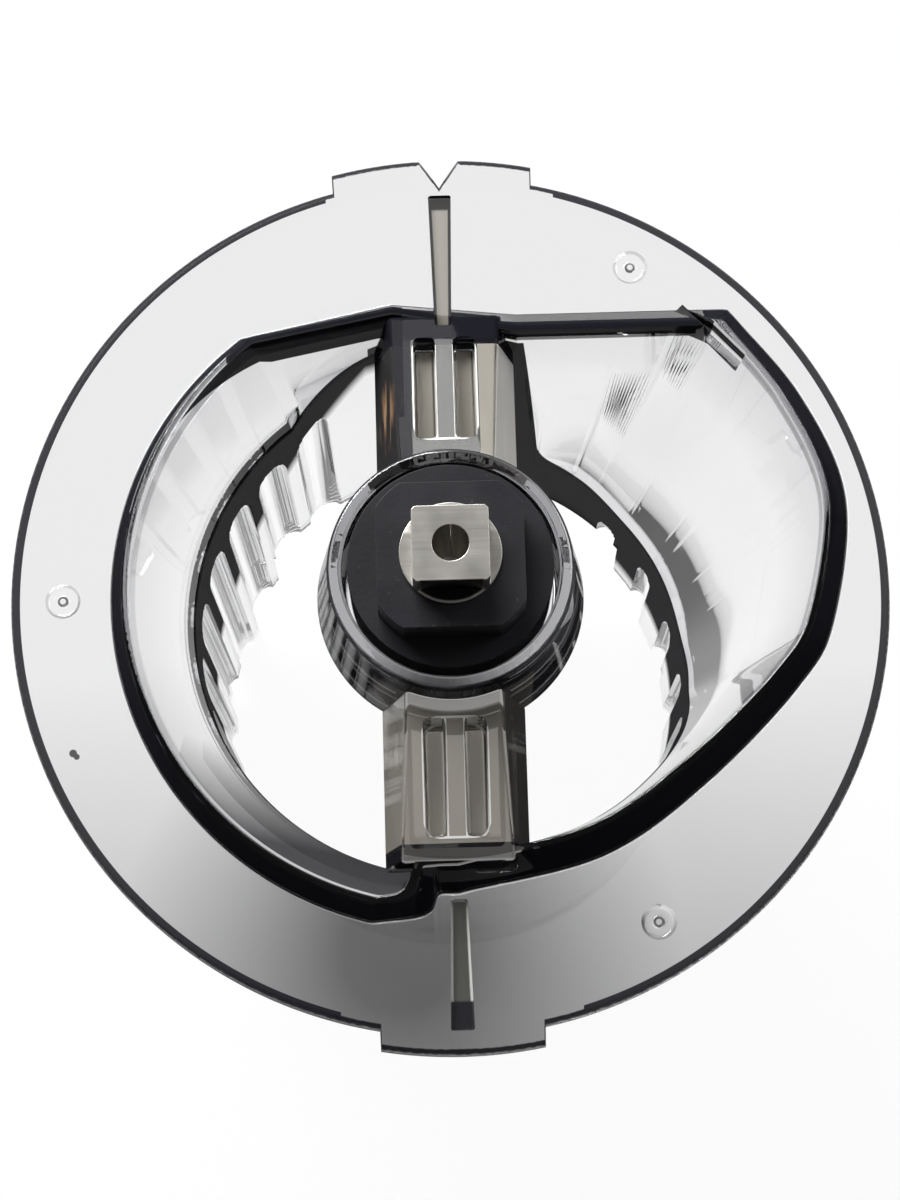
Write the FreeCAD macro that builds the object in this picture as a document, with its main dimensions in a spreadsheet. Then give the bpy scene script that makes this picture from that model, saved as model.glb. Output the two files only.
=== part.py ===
import FreeCAD, Part
import math
import os
import Sketcher

# Feed chute lid of a juicer: a clear moulding with a flange, a scroll-shaped lip, a funnel into a
# throat tube and a bridge with a hub cup, which carries a turning drive.
# It stands on the open end of its chute. Z = 0 is that end, and the Z axis is the drive's axis.

doc = FreeCAD.newDocument("FeedChuteLid")
sheet = doc.addObject("Spreadsheet::Sheet", "Sizes")

# Driving dimensions, in millimetres and degrees.
SIZES = [
    ("deck_height", 126.0, "flange's working face above the chute's end"),
    ("flange_radius", 75.0, ""),
    ("flange_thickness", 3.0, ""),
    ("lug_reach", 78.3, "outer radius of both bayonet lugs"),
    ("north_lug_left", 19.3, ""),
    ("north_lug_right", 16.4, ""),
    ("south_lug_half", 13.7, ""),
    ("lug_notch_width", 6.9, "V notch that marks the north lug"),
    ("lug_notch_depth", 5.1, ""),
    ("channel_width", 4.0, "radial channels in the flange"),
    ("channel_depth", 1.5, ""),
    ("channel_tip_width", 2.8, "north channel's inner end, which runs through the lip"),
    ("north_channel_inner", 45.3, ""),
    ("north_channel_outer", 71.4, ""),
    ("south_channel_inner", 52.5, ""),
    ("south_channel_outer", 74.0, ""),
    ("gate_circle", 66.0, "radius of the circle of three moulding gates"),
    ("gate_first_angle", 60.0, ""),
    ("gate_radius", 3.0, ""),
    ("gate_depth", 0.6, ""),
    ("gate_nub_radius", 1.0, ""),
    ("gate_nub_proud", 0.4, "above the deck"),
    ("lip_height", 6.2, "raised lip round the mouth"),
    ("lip_land", 1.2, "flat crest of the lip"),
    ("lip_run_left", 2.4, "run of the lip's outer slope"),
    ("lip_run_right", 3.8, ""),
    ("left_radius", 54.2, "crest of the lip on its round side"),
    ("left_start_angle", 127.5, ""),
    ("left_end_angle", 255.4, ""),
    ("chord_end_x", 8.8, "straight stretch beside the north arm"),
    ("chord_end_y", 47.7, ""),
    ("bar_line", 44.0, "straight stretch of the lip beside the north arm"),
    ("bar_start", 12.6, ""),
    ("scroll_south", 46.3, "crest radius of the scroll at -90 degrees"),
    ("scroll_low", 46.8, ""),
    ("scroll_low_angle", -62.0, ""),
    ("scroll_turn", 49.1, ""),
    ("scroll_turn_angle", -39.0, ""),
    ("scroll_rise", 56.2, ""),
    ("scroll_rise_angle", -17.0, ""),
    ("scroll_side", 60.4, ""),
    ("scroll_side_angle", -6.0, ""),
    ("scroll_wide", 64.8, "from here round to the bar"),
    ("scroll_wide_angle", 12.0, ""),
    ("scroll_round_angle", 28.0, ""),
    ("hook_x", 7.0, "where the round side comes back to the south arm"),
    ("hook_turn_x", 8.0, ""),
    ("hook_turn_y", 49.6, ""),
    ("hook_bend_x", 10.4, ""),
    ("hook_bend_y", 51.8, ""),
    ("gap_width", 2.0, "slot between the bar and the scroll's start"),
    ("gap_length", 15.0, ""),
    ("gap_angle", 43.5, ""),
    ("gap_sink", 0.6, ""),
    ("funnel_depth", 77.0, "from the deck to the funnel's foot"),
    ("foot_scale", 0.635, "foot outline as a share of the mouth's"),
    ("foot_shift", 4.6, ""),
    ("foot_left_radius", 31.6, "foot's radius on the round side"),
    ("foot_ring", 45.2, "foot's radius under the widest part of the scroll"),
    ("foot_bar_line", 41.9, "foot's straight stretch under the bar"),
    ("throat_radius", 45.7, ""),
    ("throat_wall", 3.0, ""),
    ("flute_width", 7.2, "flutes down the throat's wall"),
    ("flute_depth", 1.6, ""),
    ("flute_gap", 3.0, "from the funnel's edge down to a flute's top"),
    ("left_flute_angle", 123.0, "first flute on the round side"),
    ("left_flute_pitch", 12.8, "in degrees"),
    ("right_flute_angle", -17.6, "first flute on the scroll side"),
    ("right_flute_pitch", 15.4, "in degrees"),
    ("chute_notch_width", 71.0, "wide notch in the chute's end"),
    ("chute_notch_height", 31.0, ""),
    ("chute_step_width", 80.7, "lower step on both sides of the notch"),
    ("chute_step_height", 14.0, ""),
    ("chute_slot_width", 7.2, "slots that part the teeth beside the step"),
    ("chute_slot_height", 9.0, ""),
    ("chute_slot_angle", 12.5, "from the X axis"),
    ("arm_top_width", 16.0, "bridge between the two sides of the mouth"),
    ("arm_base_width", 24.7, ""),
    ("arm_drop", 6.0, "bridge's lower edge under the deck"),
    ("arm_hub_height", 12.5, "bridge's top above the deck, at the hub"),
    ("arm_ceiling", 0.8, "roof of the hollow under the bridge, above the deck"),
    ("recess_width", 10.6, "recess in each arm's top"),
    ("recess_inner", 23.8, ""),
    ("recess_outer", 43.0, ""),
    ("recess_depth", 3.0, ""),
    ("recess_rib", 3.0, ""),
    ("hub_base_radius", 23.0, ""),
    ("hub_rim_radius", 20.3, ""),
    ("hub_rim_height", 17.5, "above the deck"),
    ("hub_wall", 2.4, ""),
    ("hub_floor_top", 1.0, "above the deck"),
    ("hub_floor", 3.5, ""),
    ("sleeve_radius", 11.0, "boss under the hub's floor"),
    ("sleeve_length", 18.0, ""),
    ("journal_radius", 6.0, "steel shaft"),
    ("running_clearance", 0.05, ""),
    ("bush_wall", 2.4, ""),
    ("bush_flange_radius", 10.5, ""),
    ("bush_flange", 1.5, ""),
    ("washer_radius", 10.0, ""),
    ("washer_thickness", 1.0, ""),
    ("collar_clearance", 0.9, "between the coupling's collar and the hub cup"),
    ("collar_height", 19.4, "coupling's collar above the deck"),
    ("collar_wall", 3.0, ""),
    ("collar_floor", 4.0, ""),
    ("core_radius", 9.5, "coupling's core round the shaft"),
    ("boss_radius", 14.4, ""),
    ("boss_flats", 24.0, "across the boss's flats"),
    ("boss_height", 27.6, "above the deck"),
    ("shoulder_radius", 8.3, ""),
    ("shoulder_height", 0.8, ""),
    ("square_width", 12.3, ""),
    ("square_height", 6.7, ""),
    ("end_hole_radius", 2.95, ""),
    ("end_hole_depth", 22.0, ""),
    ("clip_clearance", 0.3, "between the bush and the clip"),
    ("clip_thickness", 1.2, ""),
    ("clip_play", 0.1, "clip in its groove"),
    ("clip_radius", 9.5, ""),
    ("clip_mouth", 7.4, ""),
    ("groove_depth", 1.2, "clip's groove in the shaft"),
    ("shaft_tail", 3.0, "shaft past the groove"),
]
for row, (alias, value, note) in enumerate(SIZES, start=1):
    sheet.set("A%d" % row, alias)
    sheet.set("B%d" % row, str(value))
    sheet.setAlias("B%d" % row, alias)
    sheet.set("C%d" % row, note)
doc.recompute()

# Levels that several pieces share, each above the chute's end.
DECK = "Sizes.deck_height"
FLOOR_TOP = "(Sizes.deck_height + Sizes.hub_floor_top)"
FLOOR_BOTTOM = "(Sizes.deck_height + Sizes.hub_floor_top - Sizes.hub_floor)"
SLEEVE_END = "(Sizes.deck_height + Sizes.hub_floor_top - Sizes.hub_floor - Sizes.sleeve_length)"
BUSH_END = "(%s - Sizes.bush_flange)" % SLEEVE_END
CORE_FOOT = "(%s + Sizes.washer_thickness)" % FLOOR_TOP
BOSS_TOP = "(Sizes.deck_height + Sizes.boss_height)"
SHOULDER_TOP = "(%s + Sizes.shoulder_height)" % BOSS_TOP
HEAD_TOP = "(%s + Sizes.square_height)" % SHOULDER_TOP
GROOVE_TOP = "(%s - Sizes.clip_clearance)" % BUSH_END
GROOVE_END = "(%s - Sizes.clip_thickness - Sizes.clip_play)" % GROOVE_TOP
SHAFT_END = "(%s - Sizes.shaft_tail)" % GROOVE_END
BUSH_RADIUS = "(Sizes.journal_radius + Sizes.running_clearance + Sizes.bush_wall)"
HUB_BORE = "(Sizes.hub_rim_radius - Sizes.hub_wall)"
COLLAR_RADIUS = "(%s - Sizes.collar_clearance)" % HUB_BORE
WALL_RADIUS = "(Sizes.throat_radius + Sizes.throat_wall)"
THROAT_INSIDE = "(Sizes.throat_radius - Sizes.throat_wall)"
OVERRUN = 2.0
PAST = " + %g" % OVERRUN
BELOW = "-%g" % OVERRUN
LEFT_FLUTES = 8
RIGHT_FLUTES = 5
GATES = 3
GATE_SIDES = 16


def size(alias):
    return float(sheet.get(alias))


def bind(obj, **expressions):
    for name, expression in expressions.items():
        obj.setExpression(name.replace("__", "."), expression)
    return obj


def cylinder(name, radius, height, base):
    return bind(doc.addObject("Part::Cylinder", name), Radius=radius, Height=height, Placement__Base__z=base)


def box(name, low, high):
    block = doc.addObject("Part::Box", name)
    for axis, side, start, end in zip("xyz", ("Length", "Width", "Height"), low, high):
        block.setExpression("Placement.Base." + axis, start)
        block.setExpression(side, "(%s) - (%s)" % (end, start))
    return block


def turned_box(name, angle, low, high):
    """A box between two corners, turned about the drive's axis by an angle in degrees."""
    block = box(name, low, high)
    x, y = low[0], low[1]
    cosine, sine = "cos((%s) * 1 deg)" % angle, "sin((%s) * 1 deg)" % angle
    block.setExpression("Placement.Rotation.Angle", "(%s) * 1 deg" % angle)
    block.setExpression("Placement.Base.x", "(%s) * %s - (%s) * %s" % (x, cosine, y, sine))
    block.setExpression("Placement.Base.y", "(%s) * %s + (%s) * %s" % (x, sine, y, cosine))
    return block


def padded_outline(name, corners, base, height):
    """A prism over a flat outline, from a base level up."""
    body = doc.addObject("PartDesign::Body", name)
    pad = body.newObject("PartDesign::Pad", name + "_pad")
    pad.Profile = polygon_sketch(body, name + "_outline", "XY_Plane", corners)
    pad.setExpression("Length", height)
    return bind(body, Placement__Base__z=base)


def fuse(name, *pieces):
    joined = doc.addObject("Part::MultiFuse", name)
    joined.Shapes = list(pieces)
    return joined


def cut(name, base, *tools):
    tool = tools[0] if len(tools) == 1 else fuse(name + "_tools", *tools)
    result = doc.addObject("Part::Cut", name)
    result.Base = base
    result.Tool = tool
    return result


def common(name, first, second):
    result = doc.addObject("Part::Common", name)
    result.Base = first
    result.Tool = second
    return result


def origin_plane(body, role):
    return next(plane for plane in body.Origin.OriginFeatures if plane.Role == role)


def polygon_sketch(body, name, role, corners):
    """A closed outline of straight sides, with each corner's two coordinates given as expressions."""
    sketch = body.newObject("Sketcher::SketchObject", name)
    sketch.AttachmentSupport = [(origin_plane(body, role), "")]
    sketch.MapMode = "FlatFace"
    values = [(sheet.evalExpression(x), sheet.evalExpression(y)) for x, y in corners]
    points = [FreeCAD.Vector(float(x), float(y), 0) for x, y in values]
    count = len(points)
    for i in range(count):
        sketch.addGeometry(Part.LineSegment(points[i], points[(i + 1) % count]), False)
    for i in range(count):
        sketch.addConstraint(Sketcher.Constraint("Coincident", i, 2, (i + 1) % count, 1))
    for i, (x, y) in enumerate(corners):
        for kind, value, expression in (("DistanceX", points[i].x, x), ("DistanceY", points[i].y, y)):
            index = sketch.addConstraint(Sketcher.Constraint(kind, -1, 1, i, 1, value))
            sketch.setExpression("Constraints[%d]" % index, expression)
    return sketch


def turned_body(label, corners):
    """A piece turned about Z from its half section, with each corner as (radius, height)."""
    body = doc.addObject("PartDesign::Body", label)
    section = polygon_sketch(body, label + "_section", "XZ_Plane", corners)
    turn = body.newObject("PartDesign::Revolution", label + "_turn")
    turn.Profile = section
    turn.ReferenceAxis = (section, ["V_Axis"])
    turn.Angle = 360.0
    return body


# The mouth's outline, seen from above: round on the left, a scroll on the right.
def polar(radius, angle):
    return radius * math.cos(math.radians(angle)), radius * math.sin(math.radians(angle))


def foot_place(point):
    return point[0] * size("foot_scale") + size("foot_shift"), point[1] * size("foot_scale")


def left_arc(radius):
    """Start, middle and end of the arc on the mouth's round side."""
    return [polar(radius, size("left_start_angle")), (-radius, 0.0), polar(radius, size("left_end_angle"))]


def mouth_corners(grow_left, grow_right):
    """The scroll's points and the other corners of the mouth, moved outwards by two growths."""
    bar = size("bar_line") + grow_right
    wide = size("scroll_wide") + grow_right
    scroll = [(0.0, -size("scroll_south") - grow_right)]
    for name in ("scroll_low", "scroll_turn", "scroll_rise", "scroll_side"):
        scroll.append(polar(size(name) + grow_right, size(name + "_angle")))
    round_side = [polar(wide, size("scroll_wide_angle")), polar(wide, size("scroll_round_angle")),
                  (math.sqrt(wide ** 2 - bar ** 2), bar)]
    corners = [
        (-size("chord_end_x"), size("chord_end_y") + grow_left),
        (-size("hook_bend_x") + grow_left, -size("hook_bend_y") - grow_left),
        (-size("hook_turn_x") + grow_left, -size("hook_turn_y") - grow_right),
        (-size("hook_x") + grow_left, -size("scroll_south") - grow_right)]
    return scroll, round_side, (size("bar_start"), bar), corners


def mouth_outline(grow_left, grow_right, height, at_foot=False):
    """Closed wire round the mouth, at the lip or at the funnel's foot, where it is drawn in."""
    scroll, round_side, bar_end, corners = mouth_corners(grow_left, grow_right)
    left = left_arc(size("left_radius") + grow_left)
    if at_foot:
        ring = size("foot_ring") + grow_right
        bar = size("foot_bar_line") + grow_right
        first, last = size("scroll_wide_angle"), math.degrees(math.asin(bar / ring))
        scroll = [foot_place(point) for point in scroll]
        round_side = [polar(ring, angle) for angle in (first, (first + last) / 2, last)]
        bar_end = (size("bar_start"), bar)
        corners = [foot_place(point) for point in corners]
        left = left_arc(size("foot_left_radius") + grow_left)
    scroll = [FreeCAD.Vector(x, y, height) for x, y in scroll + round_side]
    bar_end = FreeCAD.Vector(*bar_end, height)
    chord_end, *hook = [FreeCAD.Vector(x, y, height) for x, y in corners]
    left = [FreeCAD.Vector(x, y, height) for x, y in left]
    scroll_curve = Part.BSplineCurve()
    scroll_curve.interpolate(scroll)
    straight = [(scroll[-1], bar_end), (bar_end, chord_end), (chord_end, left[0])]
    bends = [left[-1], *hook, scroll[0]]
    spans = scroll_curve.getKnots()
    edges = [scroll_curve.toShape(a, b) for a, b in zip(spans, spans[1:])]
    edges += [Part.LineSegment(a, b).toShape() for a, b in straight]
    edges.append(Part.Arc(*left).toShape())
    edges += [Part.LineSegment(a, b).toShape() for a, b in zip(bends, bends[1:])]
    return Part.Wire(edges)


def mouth_form(name, lower, upper):
    form = doc.addObject("Part::Feature", name)
    form.Shape = Part.makeLoft([lower, upper], True, True)
    return form


deck = size("deck_height")
crest = deck + size("lip_height")
foot = deck - size("funnel_depth")
land = size("lip_land")
wall = size("throat_wall")

# Flange with its two lugs.
flange_disc = cylinder("flange_disc", "Sizes.flange_radius", "Sizes.flange_thickness",
                       DECK + " - Sizes.flange_thickness")
lug_disc = cylinder("lug_disc", "Sizes.lug_reach", "Sizes.flange_thickness",
                    DECK + " - Sizes.flange_thickness")
north_block = box("north_block", ("-Sizes.north_lug_left", "0", "0"),
                  ("Sizes.north_lug_right", "Sizes.lug_reach" + PAST, DECK + PAST))
south_block = box("south_block", ("-Sizes.south_lug_half", "-(Sizes.lug_reach%s)" % PAST, "0"),
                  ("Sizes.south_lug_half", "0", DECK + PAST))
lugs = common("lugs", lug_disc, fuse("lug_blocks", north_block, south_block))

# Lip, funnel and throat tube, first as outer forms and then hollowed by the mouth and the throat.
lip_outer = mouth_form(
    "lip_outer",
    mouth_outline(land + size("lip_run_left"), land + size("lip_run_right"), deck),
    mouth_outline(land, land, crest))
funnel_outer = mouth_form(
    "funnel_outer",
    mouth_outline(wall, wall, foot, True),
    mouth_outline(wall, wall, deck))
tube_outer = cylinder("tube_outer", WALL_RADIUS, DECK, "0")
mouth_inner = mouth_form(
    "mouth_inner",
    mouth_outline(0.0, 0.0, foot, True),
    mouth_outline(0.0, 0.0, crest))
throat = cylinder("throat", "Sizes.throat_radius", DECK + " + Sizes.lip_height" + 2 * PAST, BELOW)
shell = cut("shell", fuse("outer_forms", flange_disc, lugs, lip_outer, funnel_outer, tube_outer),
            fuse("hollow", mouth_inner, throat))

# Bridge: two sloping arms with a hollow underside.
def bridge_form(name, base_half, top_half, lower, hub_height, lip_height, reach):
    sides = doc.addObject("PartDesign::Body", name + "_sides")
    section = polygon_sketch(sides, name + "_section", "XZ_Plane", [
        ("-(%s)" % base_half, lower), (base_half, lower),
        (top_half, hub_height), ("-(%s)" % top_half, hub_height)])
    pad = sides.newObject("PartDesign::Pad", name + "_length")
    pad.Profile = section
    pad.Midplane = True
    pad.setExpression("Length", "2 * (%s)" % reach)
    slopes = doc.addObject("PartDesign::Body", name + "_slopes")
    profile = polygon_sketch(slopes, name + "_profile", "YZ_Plane", [
        ("-(%s)" % reach, lower), (reach, lower), (reach, lip_height),
        ("Sizes.hub_rim_radius", hub_height), ("-Sizes.hub_rim_radius", hub_height),
        ("-(%s)" % reach, lip_height)])
    width = slopes.newObject("PartDesign::Pad", name + "_width")
    width.Profile = profile
    width.Midplane = True
    width.setExpression("Length", "2 * (%s)" % base_half)
    return common(name, sides, slopes)


BRIDGE_FOOT = DECK + " - Sizes.arm_drop"
BRIDGE_HUB = DECK + " + Sizes.arm_hub_height"
BRIDGE_LIP = DECK + " + Sizes.lip_height"
BRIDGE_REACH = "Sizes.throat_radius + Sizes.throat_wall / 2"
HOLLOW_HALF = "(Sizes.arm_top_width / 2)"
bridge_outer = bridge_form("bridge_outer", "Sizes.arm_base_width / 2", "Sizes.arm_top_width / 2",
                           BRIDGE_FOOT, BRIDGE_HUB, BRIDGE_LIP, BRIDGE_REACH)
BRIDGE_CEILING = DECK + " + Sizes.arm_ceiling"
bridge_inner = box("bridge_inner",
                   ("-" + HOLLOW_HALF, "-" + THROAT_INSIDE, "%s - %g" % (BRIDGE_FOOT, OVERRUN)),
                   (HOLLOW_HALF, THROAT_INSIDE, BRIDGE_CEILING))
hub_clearing = cylinder("hub_clearing", HUB_BORE + " + Sizes.hub_wall / 2", BRIDGE_HUB + PAST, "0")
bridge = cut("bridge", bridge_outer, bridge_inner, hub_clearing)

# Hub cup with its skirt and the boss that holds the bush.
hub = turned_body("hub", [
    (BUSH_RADIUS, SLEEVE_END), ("Sizes.sleeve_radius", SLEEVE_END), ("Sizes.sleeve_radius", FLOOR_BOTTOM),
    ("Sizes.hub_base_radius - Sizes.hub_wall", FLOOR_BOTTOM),
    ("Sizes.hub_base_radius - Sizes.hub_wall", BRIDGE_FOOT), ("Sizes.hub_base_radius", BRIDGE_FOOT),
    ("Sizes.hub_rim_radius", DECK + " + Sizes.hub_rim_height"), (HUB_BORE, DECK + " + Sizes.hub_rim_height"),
    (HUB_BORE, FLOOR_TOP), (BUSH_RADIUS, FLOOR_TOP)])


# Recesses in the arms, channels, notches and gates.
def arm_recess(name, sign, side):
    near, far = ("Sizes.recess_inner", "Sizes.recess_outer")
    low_y, high_y = (near, far) if sign > 0 else ("-" + far, "-" + near)
    inner, outer = "Sizes.recess_rib / 2", "Sizes.recess_width / 2"
    low_x, high_x = (inner, outer) if side > 0 else ("-" + outer, "-" + inner)
    return box(name, (low_x, low_y, DECK + " + Sizes.lip_height - Sizes.recess_depth"),
               (high_x, high_y, BRIDGE_HUB + PAST))


recesses = [arm_recess("recess_%d" % number, sign, side)
            for number, (sign, side) in enumerate([(1, 1), (1, -1), (-1, 1), (-1, -1)])]
CHANNEL_FLOOR = DECK + " - Sizes.channel_depth"
CHANNEL_CUT = "Sizes.channel_depth + Sizes.lip_height" + PAST
north_channel = padded_outline("north_channel", [
    ("-Sizes.channel_tip_width / 2", "Sizes.north_channel_inner"),
    ("Sizes.channel_tip_width / 2", "Sizes.north_channel_inner"),
    ("Sizes.channel_width / 2", "Sizes.north_channel_outer"),
    ("-Sizes.channel_width / 2", "Sizes.north_channel_outer")], CHANNEL_FLOOR, CHANNEL_CUT)
south_channel = box("south_channel",
                    ("-Sizes.channel_width / 2", "-Sizes.south_channel_outer", CHANNEL_FLOOR),
                    ("Sizes.channel_width / 2", "-Sizes.south_channel_inner", DECK + PAST))
lug_notch = padded_outline("lug_notch", [
    ("0", "Sizes.lug_reach - Sizes.lug_notch_depth"),
    ("Sizes.lug_notch_width / 2", "Sizes.lug_reach"),
    ("Sizes.lug_notch_width / 2", "Sizes.lug_reach" + PAST),
    ("-Sizes.lug_notch_width / 2", "Sizes.lug_reach" + PAST),
    ("-Sizes.lug_notch_width / 2", "Sizes.lug_reach")], "0", DECK + PAST)
lip_gap = turned_box(
    "lip_gap", "Sizes.gap_angle",
    ("Sizes.scroll_wide - Sizes.gap_width", "-Sizes.gap_length / 2", DECK + " - Sizes.gap_sink"),
    ("Sizes.scroll_wide", "Sizes.gap_length / 2", DECK + " + Sizes.lip_height" + PAST))


def gate(number):
    angle = "((Sizes.gate_first_angle + %g) * 1 deg)" % (360 / GATES * number)
    discs = []
    for name, radius, rise in (("dish", "Sizes.gate_radius", str(OVERRUN)),
                               ("nub", "Sizes.gate_nub_radius", "Sizes.gate_nub_proud")):
        disc = doc.addObject("Part::Prism", "gate_%s_%d" % (name, number))
        disc.Polygon = GATE_SIDES
        bind(disc, Circumradius=radius, Height="Sizes.gate_depth + " + rise,
             Placement__Base__x="Sizes.gate_circle * cos%s" % angle,
             Placement__Base__y="Sizes.gate_circle * sin%s" % angle,
             Placement__Base__z=DECK + " - Sizes.gate_depth")
        discs.append(disc)
    return cut("gate_%d" % number, *discs)


# Flutes down the throat's wall, and the notch, steps and teeth of the chute's end.
def funnel_edge(angle):
    """Height at which the funnel meets the throat's wall, at an angle in degrees."""
    x, y = polar(size("throat_radius"), angle)
    upright = Part.makeLine(FreeCAD.Vector(x, y, foot), FreeCAD.Vector(x, y, crest))
    return upright.common(mouth_inner.Shape).BoundBox.ZMin


def flute(side, number):
    first, pitch = "%s_flute_angle" % side, "%s_flute_pitch" % side
    groove = turned_box(
        "%s_flute_%d" % (side, number), "Sizes.%s + %d * Sizes.%s" % (first, number, pitch),
        (THROAT_INSIDE, "-Sizes.flute_width / 2", BELOW),
        ("Sizes.throat_radius + Sizes.flute_depth", "Sizes.flute_width / 2", "0"))
    top = funnel_edge(size(first) + number * size(pitch))
    groove.setExpression("Height", "%g - Sizes.flute_gap%s" % (top, PAST))
    return groove


flutes = [flute(side, number) for side, count in (("left", LEFT_FLUTES), ("right", RIGHT_FLUTES))
          for number in range(count)]


def end_notch(name, width, height):
    return box(name, ("-%s / 2" % width, "0", BELOW), (width + " / 2", WALL_RADIUS + PAST, height))


chute_notch = end_notch("chute_notch", "Sizes.chute_notch_width", "Sizes.chute_notch_height")
chute_step = end_notch("chute_step", "Sizes.chute_step_width", "Sizes.chute_step_height")
SLOT_ANGLES = ("Sizes.chute_slot_angle", "180 - Sizes.chute_slot_angle")
slots = [turned_box("chute_slot_%d" % number, angle,
                    (THROAT_INSIDE, "-Sizes.chute_slot_width / 2", BELOW),
                    (WALL_RADIUS + PAST, "Sizes.chute_slot_width / 2", "Sizes.chute_slot_height"))
         for number, angle in enumerate(SLOT_ANGLES)]
gates = [gate(number) for number in range(GATES)]
moulding = fuse("moulding", shell, bridge, hub)
lid = cut("feed_chute_lid", moulding, north_channel, south_channel, lug_notch, lip_gap,
          chute_notch, chute_step, *slots, *flutes, *recesses, *gates)

# Bush, washer, coupling, shaft and clip.
bush = turned_body("hub_bush", [
    ("Sizes.journal_radius + Sizes.running_clearance", BUSH_END), ("Sizes.bush_flange_radius", BUSH_END),
    ("Sizes.bush_flange_radius", SLEEVE_END), (BUSH_RADIUS, SLEEVE_END), (BUSH_RADIUS, FLOOR_TOP),
    ("Sizes.journal_radius + Sizes.running_clearance", FLOOR_TOP)])
washer = turned_body("thrust_washer", [
    ("Sizes.journal_radius + Sizes.running_clearance", FLOOR_TOP), ("Sizes.washer_radius", FLOOR_TOP),
    ("Sizes.washer_radius", CORE_FOOT), ("Sizes.journal_radius + Sizes.running_clearance", CORE_FOOT)])

COLLAR_TOP = DECK + " + Sizes.collar_height"
COLLAR_BORE = COLLAR_RADIUS + " - Sizes.collar_wall"
collar = turned_body("collar", [
    ("0", CORE_FOOT), ("Sizes.core_radius", CORE_FOOT),
    ("Sizes.core_radius", COLLAR_TOP + " - Sizes.collar_floor"),
    (COLLAR_BORE, COLLAR_TOP + " - Sizes.collar_floor"),
    (COLLAR_BORE, CORE_FOOT + " + Sizes.washer_thickness"),
    (COLLAR_RADIUS, CORE_FOOT + " + Sizes.washer_thickness"), (COLLAR_RADIUS, COLLAR_TOP),
    ("0", COLLAR_TOP)])
boss_round = cylinder("boss_round", "Sizes.boss_radius", "Sizes.boss_height - Sizes.collar_height",
                      COLLAR_TOP)
boss_square = box("boss_square", ("-Sizes.boss_flats / 2", "-Sizes.boss_flats / 2", COLLAR_TOP),
                  ("Sizes.boss_flats / 2", "Sizes.boss_flats / 2", BOSS_TOP))
boss = common("boss", boss_round, boss_square)
shaft_hole = cylinder("shaft_hole", "Sizes.journal_radius", BOSS_TOP + PAST, "0")
coupling = cut("drive_coupling", fuse("coupling_solid", collar, boss), shaft_hole)

turned_shaft = turned_body("turned_shaft", [
    ("0", SHAFT_END), ("Sizes.journal_radius", SHAFT_END), ("Sizes.journal_radius", GROOVE_END),
    ("Sizes.journal_radius - Sizes.groove_depth", GROOVE_END),
    ("Sizes.journal_radius - Sizes.groove_depth", GROOVE_TOP), ("Sizes.journal_radius", GROOVE_TOP),
    ("Sizes.journal_radius", BOSS_TOP), ("Sizes.shoulder_radius", BOSS_TOP),
    ("Sizes.shoulder_radius", SHOULDER_TOP), ("0", SHOULDER_TOP)])
head_round = cylinder("head_round", "Sizes.shoulder_radius", "Sizes.square_height", SHOULDER_TOP)
head_square = box("head_square", ("-Sizes.square_width / 2", "-Sizes.square_width / 2", SHOULDER_TOP),
                  ("Sizes.square_width / 2", "Sizes.square_width / 2", HEAD_TOP))
head = common("head", head_round, head_square)
end_hole = cylinder("end_hole", "Sizes.end_hole_radius", "Sizes.end_hole_depth" + PAST,
                    HEAD_TOP + " - Sizes.end_hole_depth")
shaft = cut("drive_shaft", fuse("shaft_solid", turned_shaft, head), end_hole)

CLIP_FOOT = GROOVE_END + " + Sizes.clip_play / 2"
clip_disc = cylinder("clip_disc", "Sizes.clip_radius", "Sizes.clip_thickness", CLIP_FOOT)
clip_bore = cylinder("clip_bore", "Sizes.journal_radius - Sizes.groove_depth + Sizes.clip_play",
                     "Sizes.clip_thickness" + 2 * PAST, "%s - %g" % (CLIP_FOOT, OVERRUN))
clip_mouth = box("clip_mouth", ("-Sizes.clip_mouth / 2", "0", "%s - %g" % (CLIP_FOOT, OVERRUN)),
                 ("Sizes.clip_mouth / 2", "Sizes.clip_radius" + PAST,
                  CLIP_FOOT + " + Sizes.clip_thickness" + PAST))
clip = cut("retaining_clip", clip_disc, clip_bore, clip_mouth)

doc.recompute()
NODES = [lid, bush, washer, coupling, shaft, clip]
for obj in doc.Objects:
    if "Invalid" in obj.State or "Error" in obj.State:
        raise RuntimeError("failed feature: " + obj.Label)
for node in NODES:
    if node.Shape.isNull() or not node.Shape.isValid() or len(node.Shape.Solids) != 1:
        raise RuntimeError("bad shape: " + node.Label)
os.makedirs("parts", exist_ok=True)
for node in NODES:
    node.Shape.exportStep("parts/%s.step" % node.Label)
    print(node.Label, round(node.Shape.Volume), "mm3")
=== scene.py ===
import math
from functools import reduce
from operator import add, mul

import bpy
import numpy as np
from mathutils import Matrix, Vector


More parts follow.
